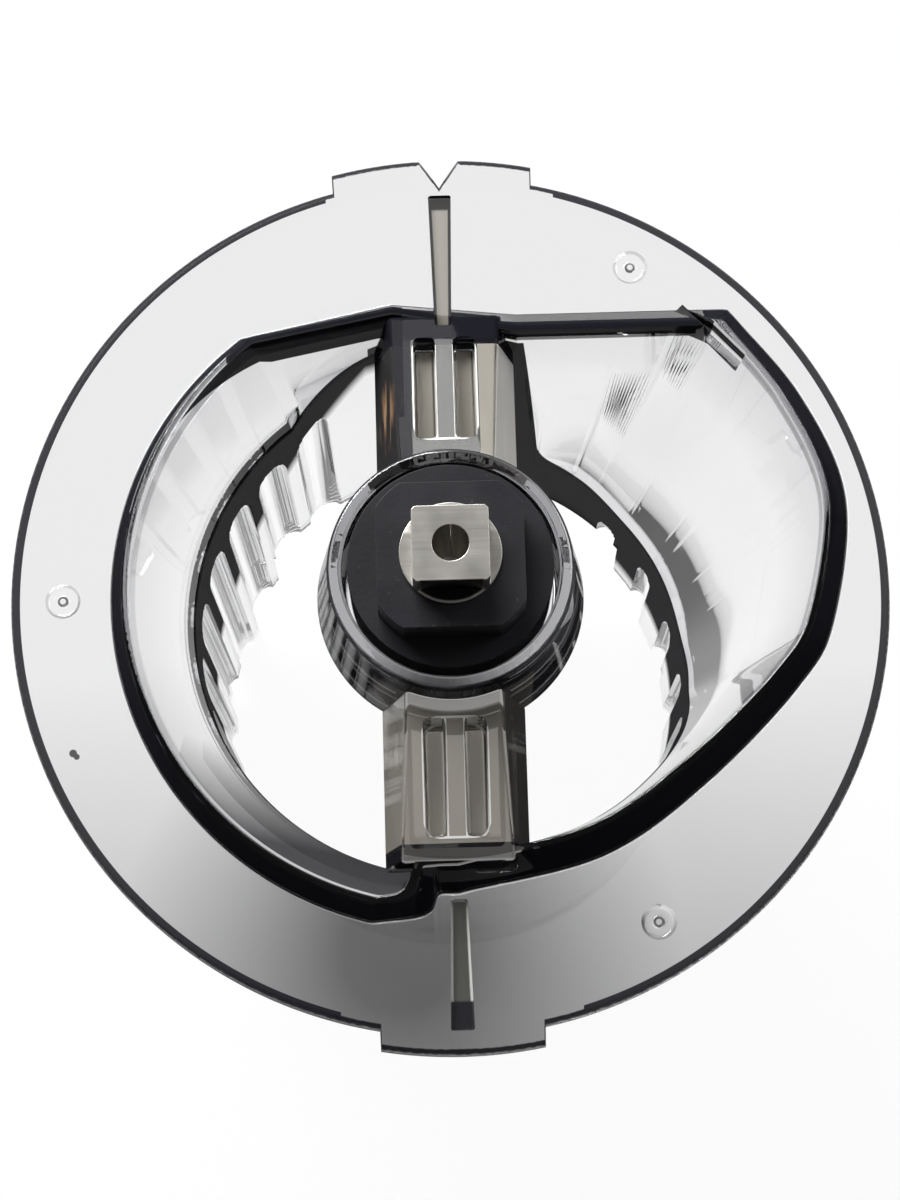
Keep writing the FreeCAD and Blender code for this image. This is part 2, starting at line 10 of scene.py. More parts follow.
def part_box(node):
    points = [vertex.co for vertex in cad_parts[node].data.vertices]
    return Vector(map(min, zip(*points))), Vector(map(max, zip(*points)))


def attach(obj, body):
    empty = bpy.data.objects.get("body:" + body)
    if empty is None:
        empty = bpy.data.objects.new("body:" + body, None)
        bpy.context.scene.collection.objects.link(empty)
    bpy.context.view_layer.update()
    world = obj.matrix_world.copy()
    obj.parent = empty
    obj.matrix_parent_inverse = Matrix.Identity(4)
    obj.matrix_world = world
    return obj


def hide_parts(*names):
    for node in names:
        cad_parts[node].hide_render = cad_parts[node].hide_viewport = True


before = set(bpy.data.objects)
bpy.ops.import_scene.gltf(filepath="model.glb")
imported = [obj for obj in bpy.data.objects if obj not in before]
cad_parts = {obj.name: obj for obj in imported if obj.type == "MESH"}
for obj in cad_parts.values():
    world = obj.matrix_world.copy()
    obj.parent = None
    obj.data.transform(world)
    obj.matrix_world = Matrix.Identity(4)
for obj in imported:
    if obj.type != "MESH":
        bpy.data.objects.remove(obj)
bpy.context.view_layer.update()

MM = 0.001

# Sizes of the clear lid, in millimetres, with heights counted from the flange's working face
lid_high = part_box("feed_chute_lid")[1]
HUB_RIM_HEIGHT = 17.5
DECK = lid_high.z / MM - HUB_RIM_HEIGHT
FLANGE_RADIUS = lid_high.x / MM
LUG_REACH = lid_high.y / MM
FLANGE_THICKNESS = 3.0
NORTH_LUG_LEFT = 19.3
NORTH_LUG_RIGHT = 16.4
SOUTH_LUG_HALF = 13.7
LUG_NOTCH_WIDTH = 6.9
LUG_NOTCH_DEPTH = 5.1
CHANNEL_DEPTH = 1.5
NORTH_CHANNEL = (45.3, 71.4)
SOUTH_CHANNEL = (52.5, 74.0)
CHANNEL_WIDTH = 4.0
CHANNEL_TAPER = 0.7
GATE_CIRCLE = 66.0
GATE_ANGLES = (60.0, 180.0, 300.0)
GATE_RADIUS = 3.0
GATE_DEPTH = 0.6
GATE_FLOOR_RADIUS = 2.4
GATE_NUB_RADIUS = 1.0
GATE_NUB_TOP = 0.7
GATE_NUB_SINK = 0.1
LIP_HEIGHT = 6.2
LIP_LAND = 1.2
LIP_RUN_LEFT = 2.4
LIP_RUN_RIGHT = 3.8
LEFT_RADIUS = 54.2
LEFT_ARC = (127.5, 255.4)
CHORD_END = (-8.8, 47.7)
BAR_LINE = 44.0
BAR_START = 12.6
HOOK_BEND = (-9.2, -51.2)
HOOK_X = -7.0
GAP_ANGLE = 43.5
GAP_LENGTH = 15.0
GAP_WIDTH = 2.0
GAP_SINK = 0.6
FUNNEL_DEPTH = 77.0
FOOT_SCALE = 0.635
FOOT_SHIFT = 4.6
FOOT_LEFT_RADIUS = 31.6
FOOT_RING = 45.2
FOOT_BAR_LINE = 41.9
THROAT_RADIUS = 45.7
THROAT_WALL = 3.0
FUNNEL_START = 1.2
ROOT_DEPTH = 16.0
ROOT_INSET = 0.4
ARM_TOP_WIDTH = 16.0
ARM_BASE_WIDTH = 24.7
ARM_DROP = 6.0
ARM_HUB_HEIGHT = 12.5
ARM_CEILING = 0.8
RECESS_WIDTH = 10.6
RECESS_RIB = 3.0
RECESS_ENDS = (23.8, 43.0)
RECESS_DEPTH = 3.0
HUB_BASE_RADIUS = 23.0
HUB_RIM_RADIUS = 20.3
HUB_WALL = 2.4
HUB_FLOOR_TOP = 1.0
HUB_FLOOR = 3.5
SLEEVE_RADIUS = 11.0
SLEEVE_LENGTH = 18.0
BUSH_RADIUS = 8.45
FLUTE_DEPTH = 1.8
FLUTE_CROWN = 7.0
FLUTE_GAP = 12.0
FLUTE_HIGHEST = -14.0

# Scroll side of the mouth, as (radius, angle), and how many of these points are scaled for the funnel's foot
SCROLL = [
    (46.3, -90.0), (46.8, -62.0), (49.1, -39.0), (56.2, -17.0), (60.4, -6.0), (64.8, 12.0), (64.8, 28.0)]
FOOT_SCALED = 5

# Steps of the chute's end, as (degrees from north, height above the floor)
CHUTE_STEPS = [(51.0, 31.0), (62.0, 14.0), (73.0, 0.0), (82.0, 9.0)]

# Flutes of the throat on the left and on the right: the angle of each one's middle, and its width
LEFT_FLUTES = [(123.0 + 12.8 * k, 7.2) for k in range(8)]
RIGHT_FLUTES = [(-17.6 + 15.4 * k, 4.6) for k in range(5)]

# Sizes of the drive
COLLAR_RADIUS = 17.0
COLLAR_TOP = 19.4
COLLAR_WALL = 3.0
COLLAR_FLOOR = 4.0
COLLAR_FOOT = 3.0
CORE_RADIUS = 9.5
CORE_FOOT = 2.0
BOSS_RADIUS = 14.4
BOSS_FLATS = 24.0
BOSS_TOP = 27.6
JOURNAL_RADIUS = 6.0
SHOULDER_RADIUS = 8.3
SHOULDER_HEIGHT = 0.8
SQUARE_WIDTH = 12.3
SQUARE_HEIGHT = 6.7
END_HOLE_RADIUS = 2.95
END_HOLE_DEPTH = 22.0
GROOVE_DEPTH = 1.2
GROOVE_WIDTH = 1.3
SHAFT_TAIL = 3.0
SHAFT_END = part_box("drive_shaft")[0].z / MM - DECK

# Rounded edges, in millimetres
EDGE_ROUND = 0.35
FLANGE_ROUND = 1.3
JOINT_ROUND = 0.8
ARM_ROUND = 0.8
RECESS_ROUND = 1.1
CHANNEL_ROUND = 0.35
GATE_ROUND = 0.2
GATE_FLOOR_ROUND = 0.3
GAP_ROUND = 0.5
HUB_FOOT_ROUND = 0.4
HUB_RIM_ROUND = 0.7
HUB_INNER_ROUND = 0.8
BUSH_EDGE_ROUND = 0.2
COUPLING_ROUND = 0.6
SHAFT_ROUND = 0.3

# How far a cutting shape reaches past the piece that it cuts, in millimetres
RECESS_PAST = 6.0
HOLLOW_PAST = 5.0
HOLLOW_END_PAST = 3.0
CHANNEL_PAST = 4.0
GATE_PAST = 1.0
GAP_PAST = 5.0
HOLE_PAST = 2.0

# How finely the pieces are drawn
STATIONS = 720
HUB_STATIONS = 192
GATE_STATIONS = 64
HOLE_SIDES = 64
LEFT_ARC_POINTS = 200
FOOT_RING_POINTS = 3
FUNNEL_LEVELS = 60
INNER_SHARES = (0.0, 0.3, 0.65, 1.0)
OUTER_SHARES = (0.0, 0.5, 1.0)
CROWN_SHARES = (0.0, 0.12, 0.3, 0.6, 1.0)
ROUND_SHARES = (0.0, 0.3, 0.7, 1.0)
ROUND_LIMIT = 0.45
BLOCK_SEGMENTS = 5
ARM_SEGMENTS = 4
EDGE_SEGMENTS = 3
TINY = 1e-6


# Small helpers for modelling
def deselect():
    bpy.ops.object.select_all(action="DESELECT")


def make_active(piece):
    deselect()
    piece.select_set(True)
    bpy.context.view_layer.objects.active = piece


def apply_modifier(piece, kind, **settings):
    make_active(piece)
    modifier = piece.modifiers.new(kind.title(), kind)
    for name, value in settings.items():
        setattr(modifier, name, value)
    bpy.ops.object.modifier_apply(modifier=modifier.name)


def combine(piece, other, operation):
    apply_modifier(piece, "BOOLEAN", object=other, operation=operation, solver="EXACT")
    bpy.data.objects.remove(other)


def turn_faces_out(piece):
    make_active(piece)
    bpy.ops.object.mode_set(mode="EDIT")
    bpy.ops.mesh.select_all(action="SELECT")
    bpy.ops.mesh.remove_doubles(threshold=TINY)
    bpy.ops.mesh.dissolve_degenerate(threshold=TINY)
    bpy.ops.mesh.normals_make_consistent(inside=False)
    bpy.ops.object.mode_set(mode="OBJECT")


def smooth(piece, degrees=35.0):
    turn_faces_out(piece)
    bpy.ops.object.shade_smooth_by_angle(angle=math.radians(degrees))
    apply_modifier(piece, "WEIGHTED_NORMAL", keep_sharp=True)


def round_corners(corners, stations):
    """Rows of a section: each corner is (radius, height, round), with arrays along the stations."""
    rows = []
    count = len(corners)
    for i, (r, z, size) in enumerate(corners):
        here = np.array(np.broadcast_arrays(r, z, np.zeros(stations))[:2], float)
        if size == 0:
            rows.append(here)
            continue
        ends = []
        for r2, z2, _ in (corners[i - 1], corners[(i + 1) % count]):
            there = np.array(np.broadcast_arrays(r2, z2, np.zeros(stations))[:2], float)
            step = there - here
            length = np.maximum(np.hypot(*step), TINY)
            ends.append(here + step * np.minimum(size / length, ROUND_LIMIT))
        for t in ROUND_SHARES:
            rows.append(ends[0] * (1 - t) ** 2 + here * 2 * t * (1 - t) + ends[1] * t ** 2)
    return rows


def ring_piece(name, corners, angles):
    """A grid primitive bent into a ring, with its section at each angle given by corners."""
    rows = round_corners(corners, len(angles))
    deselect()
    bpy.ops.mesh.primitive_grid_add(x_subdivisions=len(rows), y_subdivisions=len(angles), size=2.0)
    piece = bpy.context.object
    piece.name = name
    turn = np.append(angles, angles[0])
    r = np.array([row[0] for row in rows + rows[:1]]).T
    z = np.array([row[1] for row in rows + rows[:1]]).T
    r = np.vstack([r, r[:1]])
    z = np.vstack([z, z[:1]])
    x = r * np.cos(turn)[:, None]
    y = r * np.sin(turn)[:, None]
    place = np.stack([x, y, z + DECK], axis=2).reshape(-1, 3) * MM
    piece.data.vertices.foreach_set("co", place.astype(np.float32).ravel())
    piece.data.update()
    turn_faces_out(piece)
    return piece


def block(name, low, high, round_edges=0.0):
    """A cube primitive between two corners, in millimetres, with its edges rounded if asked."""
    deselect()
    bpy.ops.mesh.primitive_cube_add(size=1.0)
    piece = bpy.context.object
    piece.name = name
    for vertex in piece.data.vertices:
        for axis in range(3):
            vertex.co[axis] = (high[axis] if vertex.co[axis] > 0 else low[axis]) * MM
    if round_edges:
        apply_modifier(piece, "BEVEL", width=round_edges * MM, segments=BLOCK_SEGMENTS, limit_method="NONE")
    return piece


def stack(name, steps, sides=128):
    """A disc that is drawn up, step by step, through (radius, height), or (radius, height, half square)."""
    deselect()
    radius, height = steps[0][:2]
    bpy.ops.mesh.primitive_circle_add(vertices=sides, radius=radius * MM, fill_type="NGON")
    piece = bpy.context.object
    piece.name = name
    bpy.ops.object.mode_set(mode="EDIT")
    bpy.ops.mesh.select_all(action="SELECT")
    bpy.ops.transform.translate(value=(0, 0, (DECK + height) * MM))
    for step in steps[1:]:
        rise = (step[1] - height) * MM
        bpy.ops.mesh.extrude_region_move(TRANSFORM_OT_translate={"value": (0, 0, rise)})
        bpy.ops.object.mode_set(mode="OBJECT")
        limit = step[2] if len(step) > 2 else step[0]
        chosen = [vertex for vertex in piece.data.vertices if vertex.select]
        for vertex in chosen:
            angle = math.atan2(vertex.co.y, vertex.co.x)
            vertex.co.x = max(-limit, min(limit, step[0] * math.cos(angle))) * MM
            vertex.co.y = max(-limit, min(limit, step[0] * math.sin(angle))) * MM
        bpy.ops.object.mode_set(mode="EDIT")
        height = step[1]
    bpy.ops.object.mode_set(mode="OBJECT")
    turn_faces_out(piece)
    return piece


# The mouth's outline, round on the left and a scroll on the right
def polar(radius, degrees):
    return radius * math.cos(math.radians(degrees)), radius * math.sin(math.radians(degrees))


def through_points(points, steps=24):
    """A smooth curve through points, by the Catmull-Rom formula."""
    points = np.array(points, float)
    padded = np.vstack([2 * points[0] - points[1], points, 2 * points[-1] - points[-2]])
    t = np.linspace(0, 1, steps, endpoint=False)[:, None]
    spans = []
    for a, b, c, d in zip(padded, padded[1:], padded[2:], padded[3:]):
        spans.append(0.5 * (2 * b + (c - a) * t + (2 * a - 5 * b + 4 * c - d) * t ** 2
                            + (3 * b - a - 3 * c + d) * t ** 3))
    return np.vstack(spans + [points[-1:]])


def straight(start, end, steps=40):
    t = np.linspace(0, 1, steps)[:, None]
    return np.array(start) * (1 - t) + np.array(end) * t


def foot_place(point):
    return point[0] * FOOT_SCALE + FOOT_SHIFT, point[1] * FOOT_SCALE


def mouth_outline(grow_left, grow_right, at_foot):
    """The outline at the lip or at the funnel's foot, with as many points in either."""
    bar = BAR_LINE + grow_right
    wide = SCROLL[-1][0] + grow_right
    left = LEFT_RADIUS + grow_left
    corner = (math.sqrt(wide ** 2 - bar ** 2), bar)
    scroll = [polar(radius + grow_right, angle) for radius, angle in SCROLL] + [corner]
    bar_end = (BAR_START, bar)
    chord_end = (CHORD_END[0], CHORD_END[1] + grow_left)
    arc = np.radians(np.linspace(*LEFT_ARC, LEFT_ARC_POINTS))
    left_side = left * np.stack([np.cos(arc), np.sin(arc)], axis=1)
    hook = (HOOK_BEND[0] + grow_left, HOOK_BEND[1] - grow_left)
    hook_end = (HOOK_X + grow_left, -SCROLL[0][0] - grow_right)
    if at_foot:
        ring = FOOT_RING + grow_right
        bar = FOOT_BAR_LINE + grow_right
        last = math.degrees(math.asin(bar / ring))
        scroll = [foot_place(point) for point in scroll[:FOOT_SCALED]]
        ring_angles = np.linspace(SCROLL[FOOT_SCALED][1], last, FOOT_RING_POINTS)
        scroll += [polar(ring, angle) for angle in ring_angles]
        bar_end = (BAR_START, bar)
        chord_end, hook, hook_end = (foot_place(point) for point in (chord_end, hook, hook_end))
        left_side = left_side * ((FOOT_LEFT_RADIUS + grow_left) / left)
    return np.vstack([
        through_points(scroll), straight(scroll[-1], bar_end), straight(bar_end, chord_end),
        straight(chord_end, left_side[0]), left_side,
        through_points([left_side[-1], hook, hook_end]), straight(hook_end, scroll[0])])


def outline_radius(angles, grow_left=0.0, grow_right=0.0, depth_share=0.0):
    """The outline's radius at each angle, at a share of the way down to the funnel's foot."""
    points = mouth_outline(grow_left, grow_right, False)
    if depth_share:
        points = points * (1 - depth_share) + mouth_outline(grow_left, grow_right, True) * depth_share
    turn = np.degrees(np.arctan2(points[:, 1], points[:, 0])) % 360
    radius = np.hypot(points[:, 0], points[:, 1])
    order = np.argsort(turn)
    return np.interp(np.degrees(angles) % 360, turn[order], radius[order], period=360)


def funnel_rows(angles, grow, target, highest, shares):
    """Rows of the funnel's wall, at the given shares of the way from the lip to the joint with the throat."""
    levels = np.linspace(0.0, 1.0, FUNNEL_LEVELS)
    drop = LIP_HEIGHT + FUNNEL_DEPTH
    start = (LIP_HEIGHT - highest) / drop
    radii = np.array([outline_radius(angles, grow, grow, level) for level in levels])
    joint = np.array([np.interp(-target, -radii[:, i], levels) for i in range(len(angles))])
    joint = np.maximum(joint, start)
    rows = []
    for share in shares:
        level = start + (joint - start) * share
        radius = np.array([np.interp(level[i], levels, radii[:, i]) for i in range(len(angles))])
        rows.append((np.maximum(radius, target), LIP_HEIGHT - drop * level))
    return rows


def flange_edge(angles):
    """The flange's outer radius, with its two lugs and the V notch."""
    x, y = np.cos(angles), np.sin(angles)
    across = x * LUG_REACH
    north = (y > 0) & (across > -NORTH_LUG_LEFT) & (across < NORTH_LUG_RIGHT)
    south = (y < 0) & (np.abs(across) < SOUTH_LUG_HALF)
    radius = np.where(north | south, LUG_REACH, FLANGE_RADIUS)
    notch = LUG_REACH - LUG_NOTCH_DEPTH * np.clip(1 - 2 * np.abs(across) / LUG_NOTCH_WIDTH, 0, 1)
    return np.where(y > 0, np.minimum(radius, notch), radius)


def flute_reach(angles):
    """How far from a flute's middle each station lies, as a share of half its width, up to 1."""
    reach = np.ones(len(angles))
    degrees = np.degrees(angles)
    for middle, width in LEFT_FLUTES + RIGHT_FLUTES:
        away = np.abs((degrees - middle + 180) % 360 - 180) * math.radians(1) * THROAT_RADIUS
        reach = np.minimum(reach, 2 * away / width)
    return reach


def chute_end(angles):
    """Height of the chute's end: a wide notch to the north and small teeth beside it."""
    from_north = np.abs((np.degrees(angles) - 90 + 180) % 360 - 180)
    height = np.zeros(len(angles))
    for limit, level in reversed(CHUTE_STEPS):
        height = np.where(from_north < limit, level, height)
    return height - DECK


def lid_shell():
    """The flange, the lip, the funnel and the fluted throat tube, as one ring."""
    angles = np.arange(STATIONS) * 2 * math.pi / STATIONS
    crest = outline_radius(angles)
    base = outline_radius(angles, LIP_LAND + LIP_RUN_LEFT, LIP_LAND + LIP_RUN_RIGHT)
    land = outline_radius(angles, LIP_LAND, LIP_LAND)
    edge = flange_edge(angles)
    outside = THROAT_RADIUS + THROAT_WALL
    inner = funnel_rows(angles, 0.0, THROAT_RADIUS, LIP_HEIGHT - FUNNEL_START, INNER_SHARES)
    outer = funnel_rows(angles, THROAT_WALL, outside, -FLANGE_THICKNESS - ROOT_DEPTH, OUTER_SHARES)
    flute_top = np.minimum(inner[-1][1], FLUTE_HIGHEST) - FLUTE_GAP
    reach = flute_reach(angles)
    end = chute_end(angles)
    depth = FLUTE_DEPTH * np.sqrt(np.clip(1 - reach ** 2, 0, 1))
    corners = [
        (edge, -FLANGE_THICKNESS, EDGE_ROUND), (edge, 0.0, FLANGE_ROUND), (base, 0.0, EDGE_ROUND),
        (land, LIP_HEIGHT, EDGE_ROUND), (crest, LIP_HEIGHT, EDGE_ROUND)]
    corners += [(radius, height, 0) for radius, height in inner[:-1]]
    corners.append((THROAT_RADIUS, inner[-1][1], JOINT_ROUND))
    for part in CROWN_SHARES:
        crown = FLUTE_DEPTH * np.sqrt(np.clip(1 - reach ** 2 - (1 - part) ** 2, 0, 1))
        corners.append((THROAT_RADIUS + crown, flute_top - FLUTE_CROWN * part, 0))
    corners += [
        (THROAT_RADIUS + depth, (flute_top - FLUTE_CROWN + end) / 2, 0),
        (THROAT_RADIUS + depth, end, EDGE_ROUND), (outside, end, EDGE_ROUND)]
    corners += [(radius, height, 0) for radius, height in reversed(outer)]
    corners.append((np.maximum(base - ROOT_INSET, outside), -FLANGE_THICKNESS, JOINT_ROUND))
    return ring_piece("clear_lid", corners, angles)


def hub_cup():
    """The cup round the drive, with its floor and the sleeve of the bush below it."""
    angles = np.arange(HUB_STATIONS) * 2 * math.pi / HUB_STATIONS
    floor_bottom = HUB_FLOOR_TOP - HUB_FLOOR
    sleeve_end = floor_bottom - SLEEVE_LENGTH
    bore = HUB_RIM_RADIUS - HUB_WALL
    skirt = HUB_BASE_RADIUS - HUB_WALL
    section = [
        (HUB_BASE_RADIUS, -ARM_DROP, HUB_FOOT_ROUND), (HUB_RIM_RADIUS, HUB_RIM_HEIGHT, HUB_RIM_ROUND),
        (bore, HUB_RIM_HEIGHT, HUB_RIM_ROUND), (bore, HUB_FLOOR_TOP, HUB_INNER_ROUND),
        (BUSH_RADIUS, HUB_FLOOR_TOP, BUSH_EDGE_ROUND), (BUSH_RADIUS, sleeve_end, BUSH_EDGE_ROUND),
        (SLEEVE_RADIUS, sleeve_end, HUB_FOOT_ROUND), (SLEEVE_RADIUS, floor_bottom, HUB_INNER_ROUND),
        (skirt, floor_bottom, HUB_INNER_ROUND), (skirt, -ARM_DROP, HUB_FOOT_ROUND)]
    return ring_piece("hub_cup", section, angles)


def bridge_arm(sign):
    """One sloping arm of the bridge, hollow below, with two recesses beside a rib."""
    near = HUB_RIM_RADIUS - HUB_WALL / 2
    far = THROAT_RADIUS + THROAT_WALL / 2
    arm = block("bridge_arm", (-1, 0, 0), (1, 1, 1))
    for vertex in arm.data.vertices:
        right, outer, upper = (vertex.co.x > 0, vertex.co.y > 0.5 * MM, vertex.co.z > 0.5 * MM)
        height = (LIP_HEIGHT if outer else ARM_HUB_HEIGHT) if upper else -ARM_DROP
        lean = (ARM_BASE_WIDTH - ARM_TOP_WIDTH) / 2 * (height + ARM_DROP) / (ARM_HUB_HEIGHT + ARM_DROP)
        half = ARM_BASE_WIDTH / 2 - lean
        vertex.co = Vector((half if right else -half, sign * (far if outer else near), DECK + height)) * MM
    turn_faces_out(arm)
    apply_modifier(arm, "BEVEL", width=ARM_ROUND * MM, segments=ARM_SEGMENTS, limit_method="ANGLE")
    for side in (-1, 1):
        ends = sorted((side * RECESS_RIB / 2, side * RECESS_WIDTH / 2))
        stretch = sorted((sign * RECESS_ENDS[0], sign * RECESS_ENDS[1]))
        recess = block("recess", (ends[0], stretch[0], DECK + LIP_HEIGHT - RECESS_DEPTH),
                       (ends[1], stretch[1], DECK + ARM_HUB_HEIGHT + RECESS_PAST), RECESS_ROUND)
        combine(arm, recess, "DIFFERENCE")
    hollow_ends = sorted((sign * (near - HOLLOW_END_PAST), sign * (THROAT_RADIUS - THROAT_WALL)))
    hollow = block("hollow", (-ARM_TOP_WIDTH / 2, hollow_ends[0], DECK - ARM_DROP - HOLLOW_PAST),
                   (ARM_TOP_WIDTH / 2, hollow_ends[1], DECK + ARM_CEILING), RECESS_ROUND)
    combine(arm, hollow, "DIFFERENCE")
    return arm


def flange_channel(sign, ends):
    """A radial channel, a little narrower towards the mouth."""
    top = DECK + LIP_HEIGHT + CHANNEL_PAST
    channel = block("channel", (-1, 0, 0), (1, 1, 1))
    for vertex in channel.data.vertices:
        far = vertex.co.y > 0.5 * MM
        half = CHANNEL_WIDTH / 2 * (1.0 if far else CHANNEL_TAPER)
        height = top if vertex.co.z > 0.5 * MM else DECK - CHANNEL_DEPTH
        vertex.co = Vector((half if vertex.co.x > 0 else -half, sign * ends[far], height)) * MM
    turn_faces_out(channel)
    apply_modifier(channel, "BEVEL", width=CHANNEL_ROUND * MM, segments=EDGE_SEGMENTS, limit_method="NONE")
    return channel


def gate_dish(angle):
    """The shallow dish round a moulding gate, with the gate's nub left standing in it."""
    angles = np.arange(GATE_STATIONS) * 2 * math.pi / GATE_STATIONS
    dish = ring_piece("gate", [
        (GATE_RADIUS, GATE_PAST, 0), (GATE_NUB_TOP, GATE_PAST, 0), (GATE_NUB_TOP, -GATE_NUB_SINK, GATE_ROUND),
        (GATE_NUB_RADIUS, -GATE_DEPTH, GATE_ROUND), (GATE_FLOOR_RADIUS, -GATE_DEPTH, GATE_FLOOR_ROUND),
        (GATE_RADIUS, 0.0, GATE_ROUND)], angles)
    x, y = polar(GATE_CIRCLE * MM, angle)
    dish.data.transform(Matrix.Translation((x, y, 0.0)))
    return dish


def lip_gap():
    """The slot that parts the bar from the scroll's start."""
    low = (SCROLL[-1][0] - GAP_WIDTH, -GAP_LENGTH / 2, DECK - GAP_SINK)
    high = (SCROLL[-1][0], GAP_LENGTH / 2, DECK + LIP_HEIGHT + GAP_PAST)
    gap = block("gap", low, high, GAP_ROUND)
    gap.data.transform(Matrix.Rotation(math.radians(GAP_ANGLE), 4, "Z"))
    return gap


def clear_lid():
    lid = lid_shell()
    for sign in (1, -1):
        combine(lid, bridge_arm(sign), "UNION")
    combine(lid, hub_cup(), "UNION")
    combine(lid, flange_channel(1, NORTH_CHANNEL), "DIFFERENCE")
    combine(lid, flange_channel(-1, SOUTH_CHANNEL), "DIFFERENCE")
    for angle in GATE_ANGLES:
        combine(lid, gate_dish(angle), "DIFFERENCE")
    apply_modifier(lid, "TRIANGULATE")
    combine(lid, lip_gap(), "DIFFERENCE")
    smooth(lid)
    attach(lid, "lid")
    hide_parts("feed_chute_lid")
    return lid


def black_coupling():
    """The round collar, hollow below, with its core and the boss with four flats."""
    ceiling = COLLAR_TOP - COLLAR_FLOOR
    bore = COLLAR_RADIUS - COLLAR_WALL
    piece = stack("coupling", [
        (CORE_RADIUS, CORE_FOOT), (CORE_RADIUS, ceiling), (bore, ceiling), (bore, COLLAR_FOOT),
        (COLLAR_RADIUS, COLLAR_FOOT), (COLLAR_RADIUS, COLLAR_TOP), (BOSS_RADIUS, COLLAR_TOP, BOSS_FLATS / 2),
        (BOSS_RADIUS, BOSS_TOP, BOSS_FLATS / 2)])
    hole = stack("shaft_hole", [
        (JOURNAL_RADIUS, CORE_FOOT - HOLE_PAST), (JOURNAL_RADIUS, BOSS_TOP + HOLE_PAST)])
    combine(piece, hole, "DIFFERENCE")
    apply_modifier(piece, "BEVEL", width=COUPLING_ROUND * MM, segments=EDGE_SEGMENTS, limit_method="ANGLE")
    smooth(piece)
    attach(piece, "drive")
    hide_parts("drive_coupling")
    return piece


def steel_shaft():
    """The shaft with its clip groove, its shoulder, its square head and the blind hole in its end."""
    groove_foot = SHAFT_END + SHAFT_TAIL
    groove_top = groove_foot + GROOVE_WIDTH
    shoulder = BOSS_TOP + SHOULDER_HEIGHT
    head = shoulder + SQUARE_HEIGHT
    groove = JOURNAL_RADIUS - GROOVE_DEPTH
    half = SQUARE_WIDTH / 2
    piece = stack("square_shaft", [
        (JOURNAL_RADIUS, SHAFT_END), (JOURNAL_RADIUS, groove_foot), (groove, groove_foot),
        (groove, groove_top), (JOURNAL_RADIUS, groove_top), (JOURNAL_RADIUS, BOSS_TOP),
        (SHOULDER_RADIUS, BOSS_TOP), (SHOULDER_RADIUS, shoulder), (SHOULDER_RADIUS, shoulder, half),
        (SHOULDER_RADIUS, head, half)])
    hole = stack("end_hole", [
        (END_HOLE_RADIUS, head - END_HOLE_DEPTH), (END_HOLE_RADIUS, head + HOLE_PAST)], HOLE_SIDES)
    combine(piece, hole, "DIFFERENCE")
    apply_modifier(piece, "BEVEL", width=SHAFT_ROUND * MM, segments=EDGE_SEGMENTS, limit_method="ANGLE")
    smooth(piece)
    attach(piece, "drive")
    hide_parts("drive_shaft")
    return piece


lid = clear_lid()
coupling = black_coupling()
shaft = steel_shaft()


# Materials
FLAT = (1.0, 1.0, 0.0)


class Wire:
    """A shader socket that is written into sums like a number, and a maker of other nodes."""

    def __init__(self, tree, socket=None):
        self.tree = tree
        self.socket = socket

    def node(self, kind, settings=(), inputs=(), output=0):
        made = self.tree.nodes.new(kind)
        for name, value in dict(settings).items():
            setattr(made, name, value)
        for name, value in dict(inputs).items():
            self.feed(made.inputs[name], value)
        return Wire(self.tree, made.outputs[output])

    def feed(self, target, value):
        if isinstance(value, Wire):
            self.tree.links.new(value.socket, target)
        else:
            target.default_value = value

    def maths(self, operation, *values):
        return self.node("ShaderNodeMath", {"operation": operation}, dict(enumerate(values)))

    def __add__(self, other):
        return self.maths("ADD", self, other)

    __radd__ = __add__

    def __mul__(self, other):
        return self.maths("MULTIPLY", self, other)

    __rmul__ = __mul__

    def __sub__(self, other):
        return self.maths("SUBTRACT", self, other)

    def __rsub__(self, other):
        return self.maths("SUBTRACT", other, self)

    def __abs__(self):
        return self.maths("ABSOLUTE", self)

    def larger(self, other):
        return self.maths("MAXIMUM", self, other)


